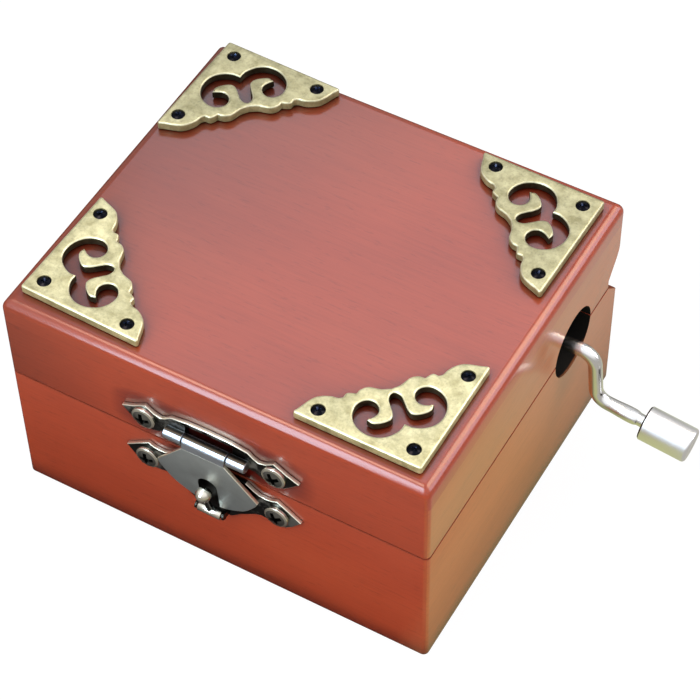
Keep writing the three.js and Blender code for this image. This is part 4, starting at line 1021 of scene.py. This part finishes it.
# Mirrors see a brighter ceiling over the front half of the room.
ROOM, ROOM_LIGHT = [(0.0, (0.72, 0.70, 0.68)), (0.8, (0.90, 0.93, 1.0))], 0.38
CEILING_BACK, BACK_SLOPE, CEILING_FOOT, FOOT_SLOPE = 0.36, -4.0, 0.15, 3.0
CEILING_LIGHT, MIRRORED_LIGHT = 0.75, 0.34

world = bpy.data.worlds.new("soft_room")
bpy.context.scene.world = world
n = Nodes(world)
way = n.position("Generated")
in_front, overhead = n.fade(way["Y"], CEILING_BACK, BACK_SLOPE), n.fade(way["Z"], CEILING_FOOT, FOOT_SLOPE)
ceiling = n.math("MULTIPLY", in_front, overhead)
mirrored = n.add("ShaderNodeLightPath").outputs["Is Glossy Ray"]
extra = n.math("MULTIPLY", mirrored, n.scaled(ceiling, CEILING_LIGHT, MIRRORED_LIGHT))
n.surface(Color=n.ramp(way["Z"], ROOM), Strength=n.math("ADD", extra, ROOM_LIGHT))

# Lamps: name, place, aim, size, power in watts, colour, and whether diffuse and glossy rays see them
AT_TOP, AT_FRONT, AT_RIGHT = (0, 0, 0.05), (0, -0.037, 0.05), (0.043, 0, 0.04)
ALL_RAYS, DIFFUSE, GLOSSY = (True, True), (True, False), (False, True)
LAMPS = [
    ("top_soft", (-0.24, 0.52, 0.80), AT_TOP, (0.5, 0.5), 1.7, (0.86, 0.88, 1.0), ALL_RAYS),
    ("front_soft", (-0.27, -0.67, 0.59), AT_FRONT, (0.26, 1.0), 6.0, (0.95, 0.95, 1.0), DIFFUSE),
    ("front_band", (-0.26, -0.72, 0.54), AT_FRONT, (0.27, 1.0), 9.5, (0.60, 0.82, 1.0), GLOSSY),
    ("edge_glow", (-0.29, -0.08, 0.93), AT_FRONT, (0.34, 0.30), 2.6, (1.0, 0.78, 0.60), GLOSSY),
    ("right_soft", (0.64, 0.45, 0.32), AT_RIGHT, (0.45, 0.40), 2.4, (0.84, 0.86, 1.0), ALL_RAYS),
    ("right_high", (0.43, 0.49, 0.70), (0.043, 0, 0.05), (0.45, 0.45), 3.8, (1.0, 0.86, 0.66), GLOSSY),
    ("key_near", (0.13, 0.06, 0.21), (0.01, 0, 0.05), (0.18, 0.18), 0.09, (1.0, 0.97, 0.92), ALL_RAYS),
    ("right_fill", (0.22, -0.16, 0.13), (0.043, 0, 0.02), (0.14, 0.14), 0.15, (1.0, 0.96, 0.90), DIFFUSE),
]
for name, at, aim, (width, height), power, colour, (diffuse, glossy) in LAMPS:
    light = bpy.data.lights.new(name, "AREA")
    light.shape = "RECTANGLE"
    light.size = width
    light.size_y = height
    light.energy = power
    light.color = colour
    lamp = link(bpy.data.objects.new(name, light))
    lamp.location = at
    lamp.rotation_euler = (Vector(aim) - Vector(at)).to_track_quat("-Z", "Y").to_euler()
    lamp.visible_diffuse = diffuse
    lamp.visible_glossy = glossy

# Camera, solved from the photograph: place in mm, directions in degrees, lens and sensor in mm
CAMERA_AT = (155.626, -252.544, 389.676)
AZIMUTH, ELEVATION, ROLL = 30.5802, 51.1279, -1.147
LENS, SENSOR = 130.0707, 36.0
camera_data = bpy.data.cameras.new("camera")
camera_data.sensor_width = SENSOR
camera_data.lens = LENS
camera_data.clip_start = 0.01
camera_data.clip_end = 10.0
camera = link(bpy.data.objects.new("camera", camera_data))
pan = Matrix.Rotation(math.radians(AZIMUTH), 4, "Z")
tilt = Matrix.Rotation(math.radians(90 - ELEVATION), 4, "X")
roll = Matrix.Rotation(math.radians(ROLL), 4, "Z")
camera.matrix_world = Matrix.Translation(Vector(CAMERA_AT) * MM) @ pan @ tilt @ roll
bpy.context.scene.camera = camera
bpy.context.scene.view_settings.view_transform = "Standard"
